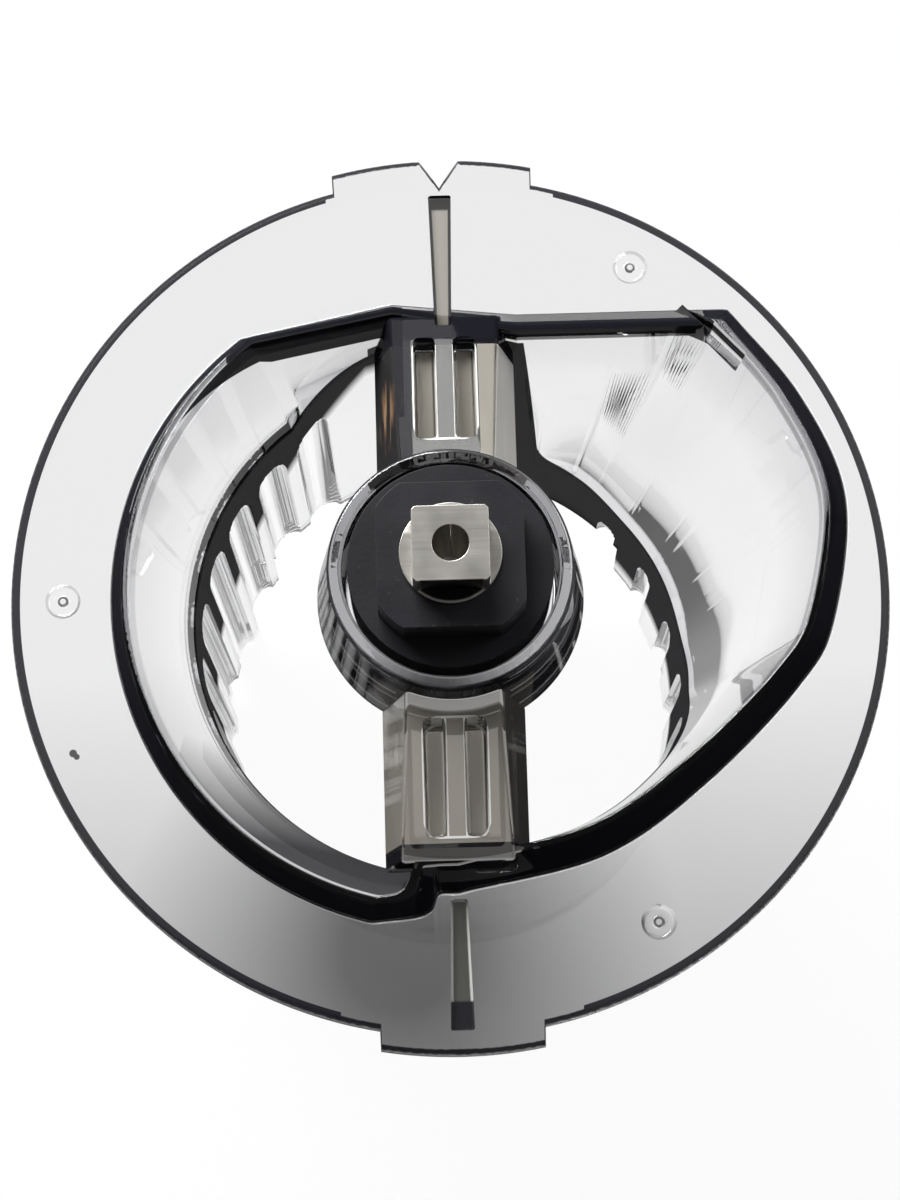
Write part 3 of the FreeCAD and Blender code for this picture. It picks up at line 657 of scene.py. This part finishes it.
class Finish:
    """A new material, with its object coordinates and a few patterns."""

    def __init__(self, name):
        self.material = bpy.data.materials.new(name)
        self.material.use_nodes = True
        self.tree = self.material.node_tree
        self.start = Wire(self.tree)
        self.shader = self.tree.nodes["Principled BSDF"]
        self.output = self.tree.nodes["Material Output"]
        self.place = self.start.node("ShaderNodeTexCoord", output="Object")
        self.normal = self.start.node("ShaderNodeTexCoord", output="Normal")

    def set(self, **inputs):
        for name, value in inputs.items():
            self.start.feed(self.shader.inputs[name.replace("_", " ")], value)

    def stretched(self, scale, turn):
        return self.start.node("ShaderNodeMapping", {}, {
            "Vector": self.place, "Rotation": (0.0, 0.0, math.radians(turn)), "Scale": scale})

    def noise(self, scale, detail, place=None):
        return self.start.node("ShaderNodeTexNoise", {}, {
            "Vector": place or self.place, "Scale": scale, "Detail": detail})

    def band(self, value, low, high, low_value=0.0, high_value=1.0):
        return self.start.node("ShaderNodeMapRange", {"clamp": True}, {
            "Value": value, "From Min": low, "From Max": high, "To Min": low_value, "To Max": high_value})

    def ramp(self, value, ends, low_value=0.0, high_value=1.0):
        """A band whose two ends are in millimetres."""
        return self.band(value, ends[0] * MM, ends[1] * MM, low_value, high_value)

    def marks(self, scale, detail, stretch, turn, edge):
        """Stretched and turned noise, as a share that rises from 0 to 1 between two of its values."""
        return self.band(self.noise(scale, detail, self.stretched(stretch, turn)), *edge)

    def vector(self, operation, *values, output=0):
        settings = {"operation": operation}
        return self.start.node("ShaderNodeVectorMath", settings, dict(enumerate(values)), output)

    def axis(self, vector, name):
        return self.start.node("ShaderNodeSeparateXYZ", {}, {0: vector}, name)

    def near(self, centre, radius, soft):
        """1 within a radius of a point, in millimetres, falling to 0 over a soft stretch outside it."""
        away = self.vector("DISTANCE", self.place, Vector(centre) * MM, output="Value")
        return self.band(away, radius * MM, (radius + soft) * MM, 1.0, 0.0)

    def between(self, value, low, high):
        """1 between two lengths in millimetres, and 0 outside them."""
        return self.start.maths("COMPARE", value, (low + high) / 2 * MM, (high - low) / 2 * MM)

    def blend(self, share, first, second):
        return self.start.node("ShaderNodeMix", {"data_type": "RGBA"}, {0: share, 6: first, 7: second}, 2)

    def bump(self, height, distance):
        return self.start.node("ShaderNodeBump", {}, {
            "Height": height, "Distance": distance * MM, "Strength": 1.0})

    def cover(self, share, layer):
        """Lay another shader over the first, by a share."""
        surface = self.start.node("ShaderNodeMixShader", {}, {
            0: share, 1: Wire(self.tree, self.shader.outputs[0]), 2: layer})
        self.start.feed(self.output.inputs["Surface"], surface)


# Tones of the clear plastic
CLEAR = (1.0, 1.0, 1.0, 1.0)
WARM = (0.92, 0.88, 0.80, 1.0)
STAIN = (0.36, 0.22, 0.12, 1.0)
CHIP = (0.02, 0.02, 0.02, 1.0)
SMOKE = (0.12, 0.12, 0.16, 1.0)
SMOKE_DENSITY = 48.0
# Painted shade: the near-black tone laid over the clear moulding where it should look dark
EDGE_DARK = (0.010, 0.010, 0.014, 1.0)
# The arms' milky painted coat, with a lit copy as painted light and a shaded copy as painted shade
MILK = (0.34, 0.32, 0.28, 1.0)
LIT_MILK = (0.78, 0.76, 0.72, 1.0)
SHADED_MILK = (0.07, 0.07, 0.068, 1.0)
# The channels' painted shade, darker in the north channel, and their painted highlight lines
CHANNEL_MILK = (0.24, 0.225, 0.195, 1.0)
CHANNEL_GREY = (0.06, 0.06, 0.055, 1.0)
CHANNEL_HIGHLIGHT = (0.50, 0.50, 0.47, 1.0)
# Painted highlight lines round the recesses and along the rib
HIGHLIGHT_LINE = (0.85, 0.85, 0.83, 1.0)

# Marks in the clear plastic: noise scale, detail, stretch, turn in degrees, and the values it rises between
SCRATCHES = (60.0, 2.0, (1.0, 60.0, 1.0), 24.0, (0.70, 0.74))
CROSSING = (45.0, 2.0, (60.0, 1.5, 1.0), 11.0, (0.71, 0.74))
HANDLED = (26.0, 3.0, (1.0, 1.0, 1.0), 0.0, (0.45, 0.8))
STREAKS = (300.0, 3.0, (1.0, 0.3, 1.0), 0.0, (0.5, 0.62))
RIPPLE = (22.0, 1.0)
RIPPLE_DEPTH = 0.25
ARM_STAIN = (-10.6, 30.0, DECK + 4.0)
STAIN_SPREAD = (2.0, 5.0)
CHIPS = [((-64.2, -26.2, DECK), 0.6), ((-63.6, -26.8, DECK), 0.45), ((56.6, -9.6, DECK + 4.0), 0.3)]
CHIP_SOFT = 0.15
CLEAR_IOR = 1.5
POLISHED = 0.015
HANDLED_ROUGH = 0.02
SCRATCH_ROUGH = 0.12
CROSSING_ROUGH = 0.1
STAIN_ROUGH = 0.3
DARK_ROUGH = 0.5

# Places where painted shade or painted light covers the clear moulding, in millimetres, with heights counted
# from the flange
LIP_SLOPE = {"height": (0.4, LIP_HEIGHT - 0.2), "radius": (43.8, 72.0)}
LIP_PALE = {"x": (-60.0, -30.0), "y": (14.0, 48.0), "thinned": (4.8, 5.6)}
LIP_STRAIGHT = {"x": (-30.0, 45.2), "y": (40.0, 56.0)}
LIP_THINNING = (-46.0, -33.0)
LIP_THINNED_BY = 3.0
CHORD_ZONE = {"x": (-46.0, -7.0), "y": (28.0, 60.0), "turned": (3.0, 2 * LIP_HEIGHT)}
CHORD_WALL = 3.8
CHORD_TAPER = (-46.0, -30.0)
CHORD_TAPERED_BY = 7.0
BAR_LAND = {"x": (8.0, 43.6), "y": (43.7, 46.2), "height": (3.0, LIP_HEIGHT + 0.4)}
BAR_END = (43.6, 45.0, DECK + LIP_HEIGHT - 0.6)
BAR_END_REACH = (1.25, 0.3)
SLOT_MIDDLE = SCROLL[-1][0] - GAP_WIDTH / 2
SLOT_ZONE = {"out_of_slot": (SLOT_MIDDLE - 1.05, SLOT_MIDDLE + 1.05), "along_slot": (0.5, GAP_LENGTH / 2),
             "height": (-1.0, LIP_HEIGHT - 0.5)}
ARM_END = {"x": (-13.5, 10.0), "y": (42.6, 49.0), "height": (2.0, 9.0)}
ARM_SPREAD = ARM_BASE_WIDTH / 2 + 1.0
ARM_ZONE = {"across": (-1.0, ARM_SPREAD), "radius": (21.0, 46.5),
            "height": (-ARM_DROP - 0.5, ARM_HUB_HEIGHT + 0.5)}
ARM_LEFT = {"x": (-ARM_SPREAD, -RECESS_WIDTH / 2 - 0.4)}
ARM_RIGHT = {"x": (RECESS_WIDTH / 2 + 0.4, ARM_SPREAD)}
ARM_SOUTH_RIGHT = {"x": (7.0, ARM_SPREAD), "y": (-50.0, 0.0)}
ARM_MILKY = {"y": (-44.0, 41.5)}
RECESS_CORNER = 2.6
RECESS_INSIDE = {"from_core": (-1.0, RECESS_CORNER)}
RECESS_OUTLINE = {"from_core": (RECESS_CORNER - 0.15, RECESS_CORNER + 0.25)}
RECESS_FLOOR = {"across": (RECESS_RIB / 2 + 0.2, RECESS_WIDTH)}
RIB_LINE = {"across": (RECESS_RIB / 2 - 0.1, RECESS_RIB / 2 + 0.2)}
LINE_HEIGHTS = {"height": (2.0, 14.0)}
HOOK_WALL = {"radius": (THROAT_RADIUS, 53.6), "x": (-46.0, -6.0), "y": (-56.0, -20.0), "height": (-60.0, 5.6)}
HOOK_SHADE = (-22.0, -42.0)
LANDS = {"radius": (40.0, THROAT_RADIUS + 0.3), "height": (-DECK, 0.0)}
LANDS_LEFT = (-42.0, -14.0)
LANDS_RIGHT = (0.0, 5.0)
LOWEST_LEFT = (56.0, 116.0)
LOWEST_RIGHT = 24.0
LANDS_FADE = (-6.0, 0.0)
HUB_BORE = {"radius": (17.0, 18.6), "height": (HUB_FLOOR_TOP + 0.3, HUB_RIM_HEIGHT - 0.3)}
HUB_SKIRT = {"radius": (20.0, 23.4), "height": (-7.0, HUB_RIM_HEIGHT)}
HUB_PLAIN = {"height": (-ARM_DROP + 1.2, HUB_RIM_HEIGHT - 1.2)}
RIM_EDGE = {"radius": (FLANGE_RADIUS - FLANGE_ROUND, 90.0)}
RIM_LINE = {"radius": (FLANGE_RADIUS - 1.7, FLANGE_RADIUS - 0.9), "height": (-0.5, 0.1)}
RIM_LUGS = {"across": (-1.0, NORTH_LUG_LEFT + 0.7)}
CHANNEL_ZONE = {"across": (-1.0, 2.3), "radius": (46.0, 74.6), "height": (-CHANNEL_DEPTH - 0.1, -0.05)}
CHANNEL_STRETCH = (46.0, 73.0)
CHANNEL_HALVES = (1.4, 2.0)
CHANNEL_SIDES = (-0.6, -0.4)
CHANNEL_END = (69.0, 69.4)
GATE_DARK = {"from_gate": (0.5, 1.0)}
GATE_FAINT = {"from_gate": (2.6, 3.0)}

# How a normal lies where a face starts to count as turned one way, and where it counts in full
TURNED_OUT = (0.2, 0.34)
TURNED_IN = (-0.6, -0.85)
TURNED_UP = (0.8, 0.95)
TURNED_ASIDE = (0.6, 0.75)
RIM_TURNED = (0.998, 0.985)
RIM_OUTER_SIDE = (0.45, 0.75)

# How much of the painted shade or light covers the clear plastic, from 0 to 1
BLACK = 0.97
END_BLACK = 0.95
SIDE_BLACK = 0.93
SHADED = 0.85
MILK_SHARE = 0.55
MILK_NORTH = 0.2
LINE_SHARE = 0.8
HOOK_SHARE = 0.88
SKIRT_CLEAR = 0.45
RIM_GREY = (0.7, 0.95)
CHANNEL_SHARE = 0.8
CHANNEL_OUTLINE = 0.12
GATE_DARK_SHARE = 0.75
GATE_FAINT_SHARE = 0.22

# Tones and finishes of the other pieces, with noise as (scale, detail)
BLACK_TONES = ((0.008, 0.008, 0.011, 1.0), (0.015, 0.015, 0.019, 1.0))
BLACK_CLOUD = (120.0, 4.0)
BLACK_ROUGH = (0.36, 0.16)
BLACK_SPECULAR = 0.28
BLACK_GRAIN = (1600.0, 2.0)
BLACK_GRAIN_DEPTH = 0.02
DUST = (0.10, 0.10, 0.10, 1.0)
DUST_NOISE = (900.0, 2.0)
DUST_EDGE = (0.70, 0.76)
DUST_SHARE = 0.35
STEEL_TONES = ((0.50, 0.48, 0.44, 1.0), (0.70, 0.68, 0.63, 1.0))
STEEL_CLOUD = (150.0, 3.0)
STEEL_ROUGH = (0.26, 0.16)
BRUSHING = (40.0, 4.0)
BRUSHING_STRETCH = (1.0, 40.0, 8.0)
BRUSHING_TURN = 4.0
BRUSHING_DEPTH = 0.01
# Painted shade on the shoulder in front of the square head, in the steel's base colour
SHOULDER_SHADE = (0.02, 0.02, 0.02, 1.0)
SHOULDER_SHADE_FRONT = (-5.9, -6.1)
SHOULDER_SHADE_REACH = (7.8, 8.0)
BUSH_TONES = ((0.09, 0.09, 0.10, 1.0), (0.15, 0.15, 0.16, 1.0))
BUSH_CLOUD = (300.0, 3.0)
BUSH_ROUGH = (0.4, 0.2)


class Faces:
    """How the moulding's faces lie, and how much painted shade or painted light covers them, as shares from 0
    to 1.
    """

    def __init__(self, finish):
        self.finish = finish
        flat = finish.vector("MULTIPLY", finish.place, FLAT)
        self.x, self.y, self.z = (finish.axis(finish.place, name) for name in "XYZ")
        self.height = self.z - DECK * MM
        self.across = abs(self.x)
        self.radius = finish.vector("LENGTH", flat, output="Value")
        self.north = self.y.maths("GREATER_THAN", self.y, 0.0)
        self.upward = finish.axis(finish.normal, "Z")
        away = finish.vector("NORMALIZE", flat)
        outward = finish.vector("DOT_PRODUCT", finish.normal, away, output="Value")
        self.turned_out = finish.band(outward, *TURNED_OUT)
        self.turned_in = finish.band(outward, *TURNED_IN)
        self.turned_up = finish.band(self.upward, *TURNED_UP)
        self.turned_aside = finish.band(abs(finish.axis(finish.normal, "X")), *TURNED_ASIDE)

    def within(self, **limits):
        """1 where each named length lies between its two limits, in millimetres."""
        return reduce(mul, [self.finish.between(getattr(self, name), *limits[name]) for name in limits])

    def lip(self):
        """Painted shade on the lip's outer slope, as two black lines on the upper left, and not along the
        chord and the bar.
        """
        slope = self.turned_out * self.within(**LIP_SLOPE)
        self.thinned = self.height - self.finish.ramp(self.x, LIP_THINNING, 0.0, LIP_THINNED_BY * MM)
        return slope * (1 - self.within(**LIP_PALE)) * (1 - self.within(**LIP_STRAIGHT)) * BLACK

    def chord(self):
        """Painted shade on the chord's land, with the top of its slope and of the funnel's wall, tapering to
        the left.
        """
        taper = self.finish.ramp(self.x, CHORD_TAPER, CHORD_TAPERED_BY * MM, 0.0)
        self.turned = self.turned_in * (CHORD_WALL * MM) + self.height - taper
        return self.within(**CHORD_ZONE) * BLACK

    def bar(self):
        """Painted shade on the bar's land, with a round free end."""
        return self.within(**BAR_LAND).larger(self.finish.near(BAR_END, *BAR_END_REACH)) * BLACK

    def slot(self):
        """The slot between the bar and the scroll's start, with painted shade at its northern end."""
        turn = math.radians(GAP_ANGLE)
        self.out_of_slot = self.x * math.cos(turn) + self.y * math.sin(turn)
        self.along_slot = self.y * math.cos(turn) - self.x * math.sin(turn)
        return self.within(**SLOT_ZONE) * SIDE_BLACK

    def arm_end(self):
        """Painted shade at the end of the north arm, where it meets the lip."""
        return self.within(**ARM_END) * END_BLACK

    def arms(self):
        """The arms: painted shade on one side of each, and a milky painted coat on top and at the other side.
        """
        self.arm = self.within(**ARM_ZONE)
        north_left = self.north * self.within(**ARM_LEFT) * SIDE_BLACK
        south_right = self.turned_aside * self.within(**ARM_SOUTH_RIGHT) * SHADED
        black = north_left + south_right
        self.milky = self.arm * (1 - black) * self.within(**ARM_MILKY)
        milk = self.turned_up.larger(self.turned_aside) * (MILK_SHARE + MILK_NORTH * self.north)
        return self.arm * black.larger(milk)

    def recess_lines(self):
        """Painted highlights: thin pale lines round the recesses and along the rib between them."""
        corner = RECESS_CORNER * MM
        middle = sum(RECESS_ENDS) / 2 * MM
        ahead = abs(abs(self.y) - middle) - (RECESS_ENDS[1] * MM - middle - corner)
        beside = self.across - (RECESS_WIDTH / 2 * MM - corner)
        ahead = ahead.larger(0.0)
        beside = beside.larger(0.0)
        squared = ahead * ahead + beside * beside
        self.from_core = squared.maths("SQRT", squared)
        self.recess = self.within(**RECESS_INSIDE)
        lines = self.within(**RECESS_OUTLINE).larger(self.recess * self.within(**RIB_LINE))
        self.pale = self.milky * lines * self.within(**LINE_HEIGHTS)
        return self.pale * LINE_SHARE

    def lower_left(self):
        """The funnel's wall beside the hook, in shade."""
        wall = self.within(**HOOK_WALL) * (1 - self.turned_out)
        return wall * self.finish.ramp(self.y, HOOK_SHADE, 0.0, HOOK_SHARE)

    def lands(self):
        """The throat's wall between the flutes, with painted shade that reaches further down on the left and
        on the right.
        """
        left = self.finish.ramp(self.x, LANDS_LEFT, LOWEST_LEFT[0] * MM, LOWEST_LEFT[1] * MM)
        lowest = left + self.finish.ramp(self.x, LANDS_RIGHT) * (LOWEST_RIGHT * MM - left)
        wall = self.turned_in * self.within(**LANDS)
        return wall * self.finish.ramp(self.z - lowest, LANDS_FADE) * BLACK

    def hub(self):
        """Painted shade on the hub cup's bore and its skirt, darkest in a line at either edge of the skirt.
        """
        bore = self.turned_in * self.within(**HUB_BORE) * SHADED
        skirt = self.turned_out * self.within(**HUB_SKIRT)
        return bore.larger(skirt * (SHADED - SKIRT_CLEAR * self.within(**HUB_PLAIN)))

    def rim(self):
        """Painted shade on the flange's round edge, black where it leaves the flat and grey at its outer
        side.
        """
        edge = self.within(**RIM_EDGE) * self.finish.band(self.upward, *RIM_TURNED)
        grey = self.finish.band(self.upward, *RIM_OUTER_SIDE, *RIM_GREY)
        line = self.within(**RIM_LINE) * (1 - self.within(**RIM_LUGS)) * END_BLACK
        return line.larger(edge * grey)

    def channels(self):
        """The two channels: painted shade on their floors, their side lines and their outer ends, with the
        south channel's side lines painted as highlights.
        """
        half = self.finish.ramp(self.radius, CHANNEL_STRETCH, CHANNEL_HALVES[0] * MM, CHANNEL_HALVES[1] * MM)
        lines = self.finish.ramp(self.across - half, CHANNEL_SIDES)
        ends = self.finish.ramp(self.radius, CHANNEL_END)
        outline = lines.larger(ends)
        self.channel = self.within(**CHANNEL_ZONE)
        self.channel_floor = self.channel * (1 - outline)
        self.channel_lines = self.channel * lines * (1 - ends) * (1 - self.north)
        return self.channel * (CHANNEL_SHARE + CHANNEL_OUTLINE * outline)

    def gates(self):
        """Painted shade: a dark ring round each gate's nub, and a faint one at the edge of its dish."""
        rings = []
        for angle in GATE_ANGLES:
            centre = Vector((*polar(GATE_CIRCLE, angle), DECK)) * MM
            self.from_gate = self.finish.vector("DISTANCE", self.finish.place, centre, output="Value")
            rings.append(self.within(**GATE_DARK) * GATE_DARK_SHARE)
            rings.append(self.within(**GATE_FAINT) * GATE_FAINT_SHARE)
        return reduce(add, rings)

    # All the painted shade and painted light on the clear moulding, as one share
    def dark(self):
        parts = (self.lip, self.chord, self.bar, self.slot, self.arm_end, self.arms, self.recess_lines,
                 self.lower_left, self.lands, self.hub, self.rim, self.channels, self.gates)
        return reduce(Wire.larger, [part() for part in parts])


def clear_plastic():
    finish = Finish("clear_plastic")
    faces = Faces(finish)
    dark_share = faces.dark()
    stain = finish.near(ARM_STAIN, *STAIN_SPREAD) * finish.marks(*STREAKS)
    colour = finish.blend(faces.arm.larger(faces.channel), CLEAR, WARM)
    colour = finish.blend(stain, colour, STAIN)
    for centre, radius in CHIPS:
        colour = finish.blend(finish.near(centre, radius, CHIP_SOFT), colour, CHIP)
    rough = (POLISHED + HANDLED_ROUGH * finish.marks(*HANDLED) + SCRATCH_ROUGH * finish.marks(*SCRATCHES)
             + CROSSING_ROUGH * finish.marks(*CROSSING) + STAIN_ROUGH * stain)
    finish.set(Base_Color=colour, Transmission_Weight=1.0, IOR=CLEAR_IOR, Roughness=rough,
               Normal=finish.bump(finish.noise(*RIPPLE), RIPPLE_DEPTH))
    # The arms' tone: the milky coat, its lit copy as painted light on the north arm's right side, its shaded
    # copy as painted shade on the north arm's top
    recess_floor = faces.recess * faces.within(**RECESS_FLOOR)
    right_side = faces.north * faces.within(**ARM_RIGHT)
    shaded_top = faces.north * (1 - recess_floor) * faces.turned_up * (1 - right_side)
    milk = finish.blend(shaded_top, MILK, SHADED_MILK)
    milk = finish.blend(right_side * faces.turned_aside, milk, LIT_MILK)
    tone = finish.blend(faces.milky, EDGE_DARK, milk)
    # Painted shade on the channel floors and painted highlight lines at the south channel's sides
    tone = finish.blend(faces.channel_floor, tone, finish.blend(faces.north, CHANNEL_GREY, CHANNEL_MILK))
    tone = finish.blend(faces.channel_lines, tone, CHANNEL_HIGHLIGHT)
    tone = finish.blend(stain, finish.blend(faces.pale, tone, HIGHLIGHT_LINE), STAIN)
    # A matte layer of painted shade and painted light, laid over the clear plastic by that share
    dark = finish.start.node("ShaderNodeBsdfPrincipled", {}, {
        "Base Color": tone, "Roughness": DARK_ROUGH, "Specular IOR Level": 0.0})
    finish.cover(dark_share, dark)
    absorb = finish.start.node("ShaderNodeVolumeAbsorption", {}, {"Color": SMOKE, "Density": SMOKE_DENSITY})
    finish.start.feed(finish.output.inputs["Volume"], absorb)
    return finish.material


def black_plastic():
    finish = Finish("black_plastic")
    cloud = finish.noise(*BLACK_CLOUD)
    dust = finish.band(finish.noise(*DUST_NOISE), *DUST_EDGE) * DUST_SHARE
    colour = finish.blend(dust, finish.blend(cloud, *BLACK_TONES), DUST)
    finish.set(Base_Color=colour, Roughness=BLACK_ROUGH[0] + BLACK_ROUGH[1] * cloud,
               Specular_IOR_Level=BLACK_SPECULAR,
               Normal=finish.bump(finish.noise(*BLACK_GRAIN), BLACK_GRAIN_DEPTH))
    return finish.material


def satin_steel():
    finish = Finish("shaft_steel")
    brushed = finish.noise(*BRUSHING, finish.stretched(BRUSHING_STRETCH, BRUSHING_TURN))
    cloud = finish.noise(*STEEL_CLOUD)
    # Painted shade on the shoulder in front of the square head, darkened in the base colour
    flat = finish.vector("MULTIPLY", finish.place, FLAT)
    reach = finish.vector("LENGTH", flat, output="Value")
    front = finish.ramp(finish.axis(finish.place, "Y"), SHOULDER_SHADE_FRONT)
    shoulder_shade = front * finish.ramp(reach, SHOULDER_SHADE_REACH, 1.0, 0.0)
    colour = finish.blend(shoulder_shade, finish.blend(brushed, *STEEL_TONES), SHOULDER_SHADE)
    finish.set(Base_Color=colour, Metallic=1.0, Roughness=STEEL_ROUGH[0] + STEEL_ROUGH[1] * cloud,
               Normal=finish.bump(brushed, BRUSHING_DEPTH))
    return finish.material


def bearing_plastic():
    finish = Finish("bush_plastic")
    cloud = finish.noise(*BUSH_CLOUD)
    finish.set(Base_Color=finish.blend(cloud, *BUSH_TONES), Roughness=BUSH_ROUGH[0] + BUSH_ROUGH[1] * cloud)
    return finish.material


def dress(piece, material):
    piece.data.materials.clear()
    piece.data.materials.append(material)


dress(lid, clear_plastic())
dress(coupling, black_plastic())
dress(shaft, satin_steel())
dress(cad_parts["retaining_clip"], shaft.data.materials[0])
bearing = bearing_plastic()
for node in ("hub_bush", "thrust_washer"):
    dress(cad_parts[node], bearing)

# Camera, fitted to the flange's rim and the hub in a frame of 900 by 1200
FRAME_HEIGHT_PX = 1200
FOCAL_PX = 2700
VIEW_TILT = math.radians(12.6)
VIEW_ROLL = math.radians(1.6)
VIEW_DISTANCE = 460.0
CENTRE_OFFSET_PX = (0.5, 9.0)
SENSOR = 36.0
CLIP_START = 0.01


def add_camera():
    north = Vector((math.sin(VIEW_ROLL), math.cos(VIEW_ROLL), 0.0))
    right = Vector((north.y, -north.x, 0.0))
    backward = Vector((0, 0, math.cos(VIEW_TILT))) - north * math.sin(VIEW_TILT)
    upward = backward.cross(right)
    turn = Matrix((right, upward, backward)).transposed().to_4x4()
    target = Vector((0.0, 0.0, DECK)) * MM
    lens = bpy.data.cameras.new("camera")
    lens.sensor_width = SENSOR
    lens.lens = FOCAL_PX / FRAME_HEIGHT_PX * SENSOR
    lens.shift_x = -CENTRE_OFFSET_PX[0] / FRAME_HEIGHT_PX
    lens.shift_y = -CENTRE_OFFSET_PX[1] / FRAME_HEIGHT_PX
    lens.clip_start = CLIP_START
    camera = bpy.data.objects.new("camera", lens)
    camera.matrix_world = Matrix.Translation(target + backward * VIEW_DISTANCE * MM) @ turn
    bpy.context.scene.collection.objects.link(camera)
    bpy.context.scene.camera = camera


# Floor and light, in metres
WHITE = (1.0, 1.0, 1.0, 1.0)
FLOOR_SIZE = 6.0
FLOOR_TONES = ((0.86, 0.86, 0.86, 1.0), (0.90, 0.90, 0.90, 1.0))
FLOOR_GRAIN = (40.0, 3.0)
FLOOR_ROUGH = 0.9
FLOOR_GLOW_SHARE = 0.94
# Painted light and shadow in the floor's glow: a pool of light round the middle, a painted shadow to the
# south and a painted shadow spot
POOL = (0.26, 0.45)
POOL_OUTSIDE = 0.6
SOUTH_EDGE = (-0.07, 0.01)
SOUTH_DIM = 0.5
SOUTH_SHADOW_SPOT = (-0.012, -0.05, 0.0)
SPOT_EDGE = (0.012, 0.06)
SPOT_DIM = 0.24
KEY_PLACE = (-0.45, 0.95, 1.0)
KEY_SIZE = (0.9, 0.6)
KEY_POWER = 34.0
FILL_PLACE = (0.9, 0.5, 1.1)
FILL_SIZE = (0.6, 0.6)
FILL_POWER = 5.0
LAMP_TARGET = (0.0, 0.0, 0.1)
WALL_TURN = (-0.5, 0.2)
WALL_GLOW = 0.5
SOUTH_GLOW = 0.06
CEILING_EDGE = (0.25, 0.6)
CEILING_GLOW = 0.12


def add_floor():
    """A pale floor with a soft shadow, white to the camera; in reflections and through the lid its glow holds
    a painted pool of light, a painted shadow to the south and a painted shadow spot.
    """
    deselect()
    bpy.ops.mesh.primitive_plane_add(size=FLOOR_SIZE)
    floor = bpy.context.object
    floor.name = "floor"
    finish = Finish("floor")
    finish.set(Base_Color=finish.blend(finish.noise(*FLOOR_GRAIN), *FLOOR_TONES), Roughness=FLOOR_ROUGH)
    camera, glossy, through = (finish.start.node("ShaderNodeLightPath", output=name)
                               for name in ("Is Camera Ray", "Is Glossy Ray", "Is Transmission Ray"))
    others = glossy.larger(through)
    # Painted pool of light, painted shadow to the south and painted shadow spot, in the glow that reflections
    # and the view through the lid see
    away = finish.vector("LENGTH", finish.place, output="Value")
    from_spot = finish.vector("DISTANCE", finish.place, SOUTH_SHADOW_SPOT, output="Value")
    pool = finish.band(away, *POOL, 1.0, POOL_OUTSIDE)
    south = finish.band(finish.axis(finish.place, "Y"), *SOUTH_EDGE, SOUTH_DIM, 1.0)
    shadow_spot = finish.band(from_spot, *SPOT_EDGE, SPOT_DIM, 1.0)
    unlit = finish.start.node("ShaderNodeEmission", {}, {"Strength": 0.0})
    bright = finish.start.node("ShaderNodeEmission", {}, {"Strength": 1.0})
    glow = finish.start.node("ShaderNodeMixShader", {}, {
        0: camera + others * pool * south * shadow_spot, 1: unlit, 2: bright})
    finish.cover((camera + others) * FLOOR_GLOW_SHARE, glow)
    dress(floor, finish.material)


def softbox(name, place, size, power):
    light = bpy.data.lights.new(name, "AREA")
    light.shape = "RECTANGLE"
    light.size, light.size_y = size
    light.energy = power
    lamp = bpy.data.objects.new(name, light)
    bpy.context.scene.collection.objects.link(lamp)
    lamp.location = place
    lamp.rotation_euler = (Vector(LAMP_TARGET) - Vector(place)).to_track_quat("-Z", "Y").to_euler()


def add_surroundings():
    """A white wall round the floor, dim in the south, which darkens to a grey ceiling."""
    world = bpy.data.worlds.new("studio")
    bpy.context.scene.world = world
    world.use_nodes = True
    start = Wire(world.node_tree)

    def eased(value, low, high, low_value, high_value):
        return start.node("ShaderNodeMapRange", {"clamp": True, "interpolation_type": "SMOOTHSTEP"}, {
            "Value": value, "From Min": low, "From Max": high, "To Min": low_value, "To Max": high_value})

    direction = start.node("ShaderNodeTexCoord", output="Generated")
    height, north = (start.node("ShaderNodeSeparateXYZ", {}, {0: direction}, name) for name in "ZY")
    wall = eased(north, *WALL_TURN, SOUTH_GLOW, WALL_GLOW)
    glow = eased(height, *CEILING_EDGE, wall, CEILING_GLOW)
    camera = start.node("ShaderNodeLightPath", output="Is Camera Ray")
    background = world.node_tree.nodes["Background"]
    start.feed(background.inputs["Color"], WHITE)
    start.feed(background.inputs["Strength"], camera + (1 - camera) * glow)


add_camera()
add_floor()
softbox("key", KEY_PLACE, KEY_SIZE, KEY_POWER)
softbox("fill", FILL_PLACE, FILL_SIZE, FILL_POWER)
add_surroundings()

bpy.context.scene.view_settings.view_transform = "Standard"
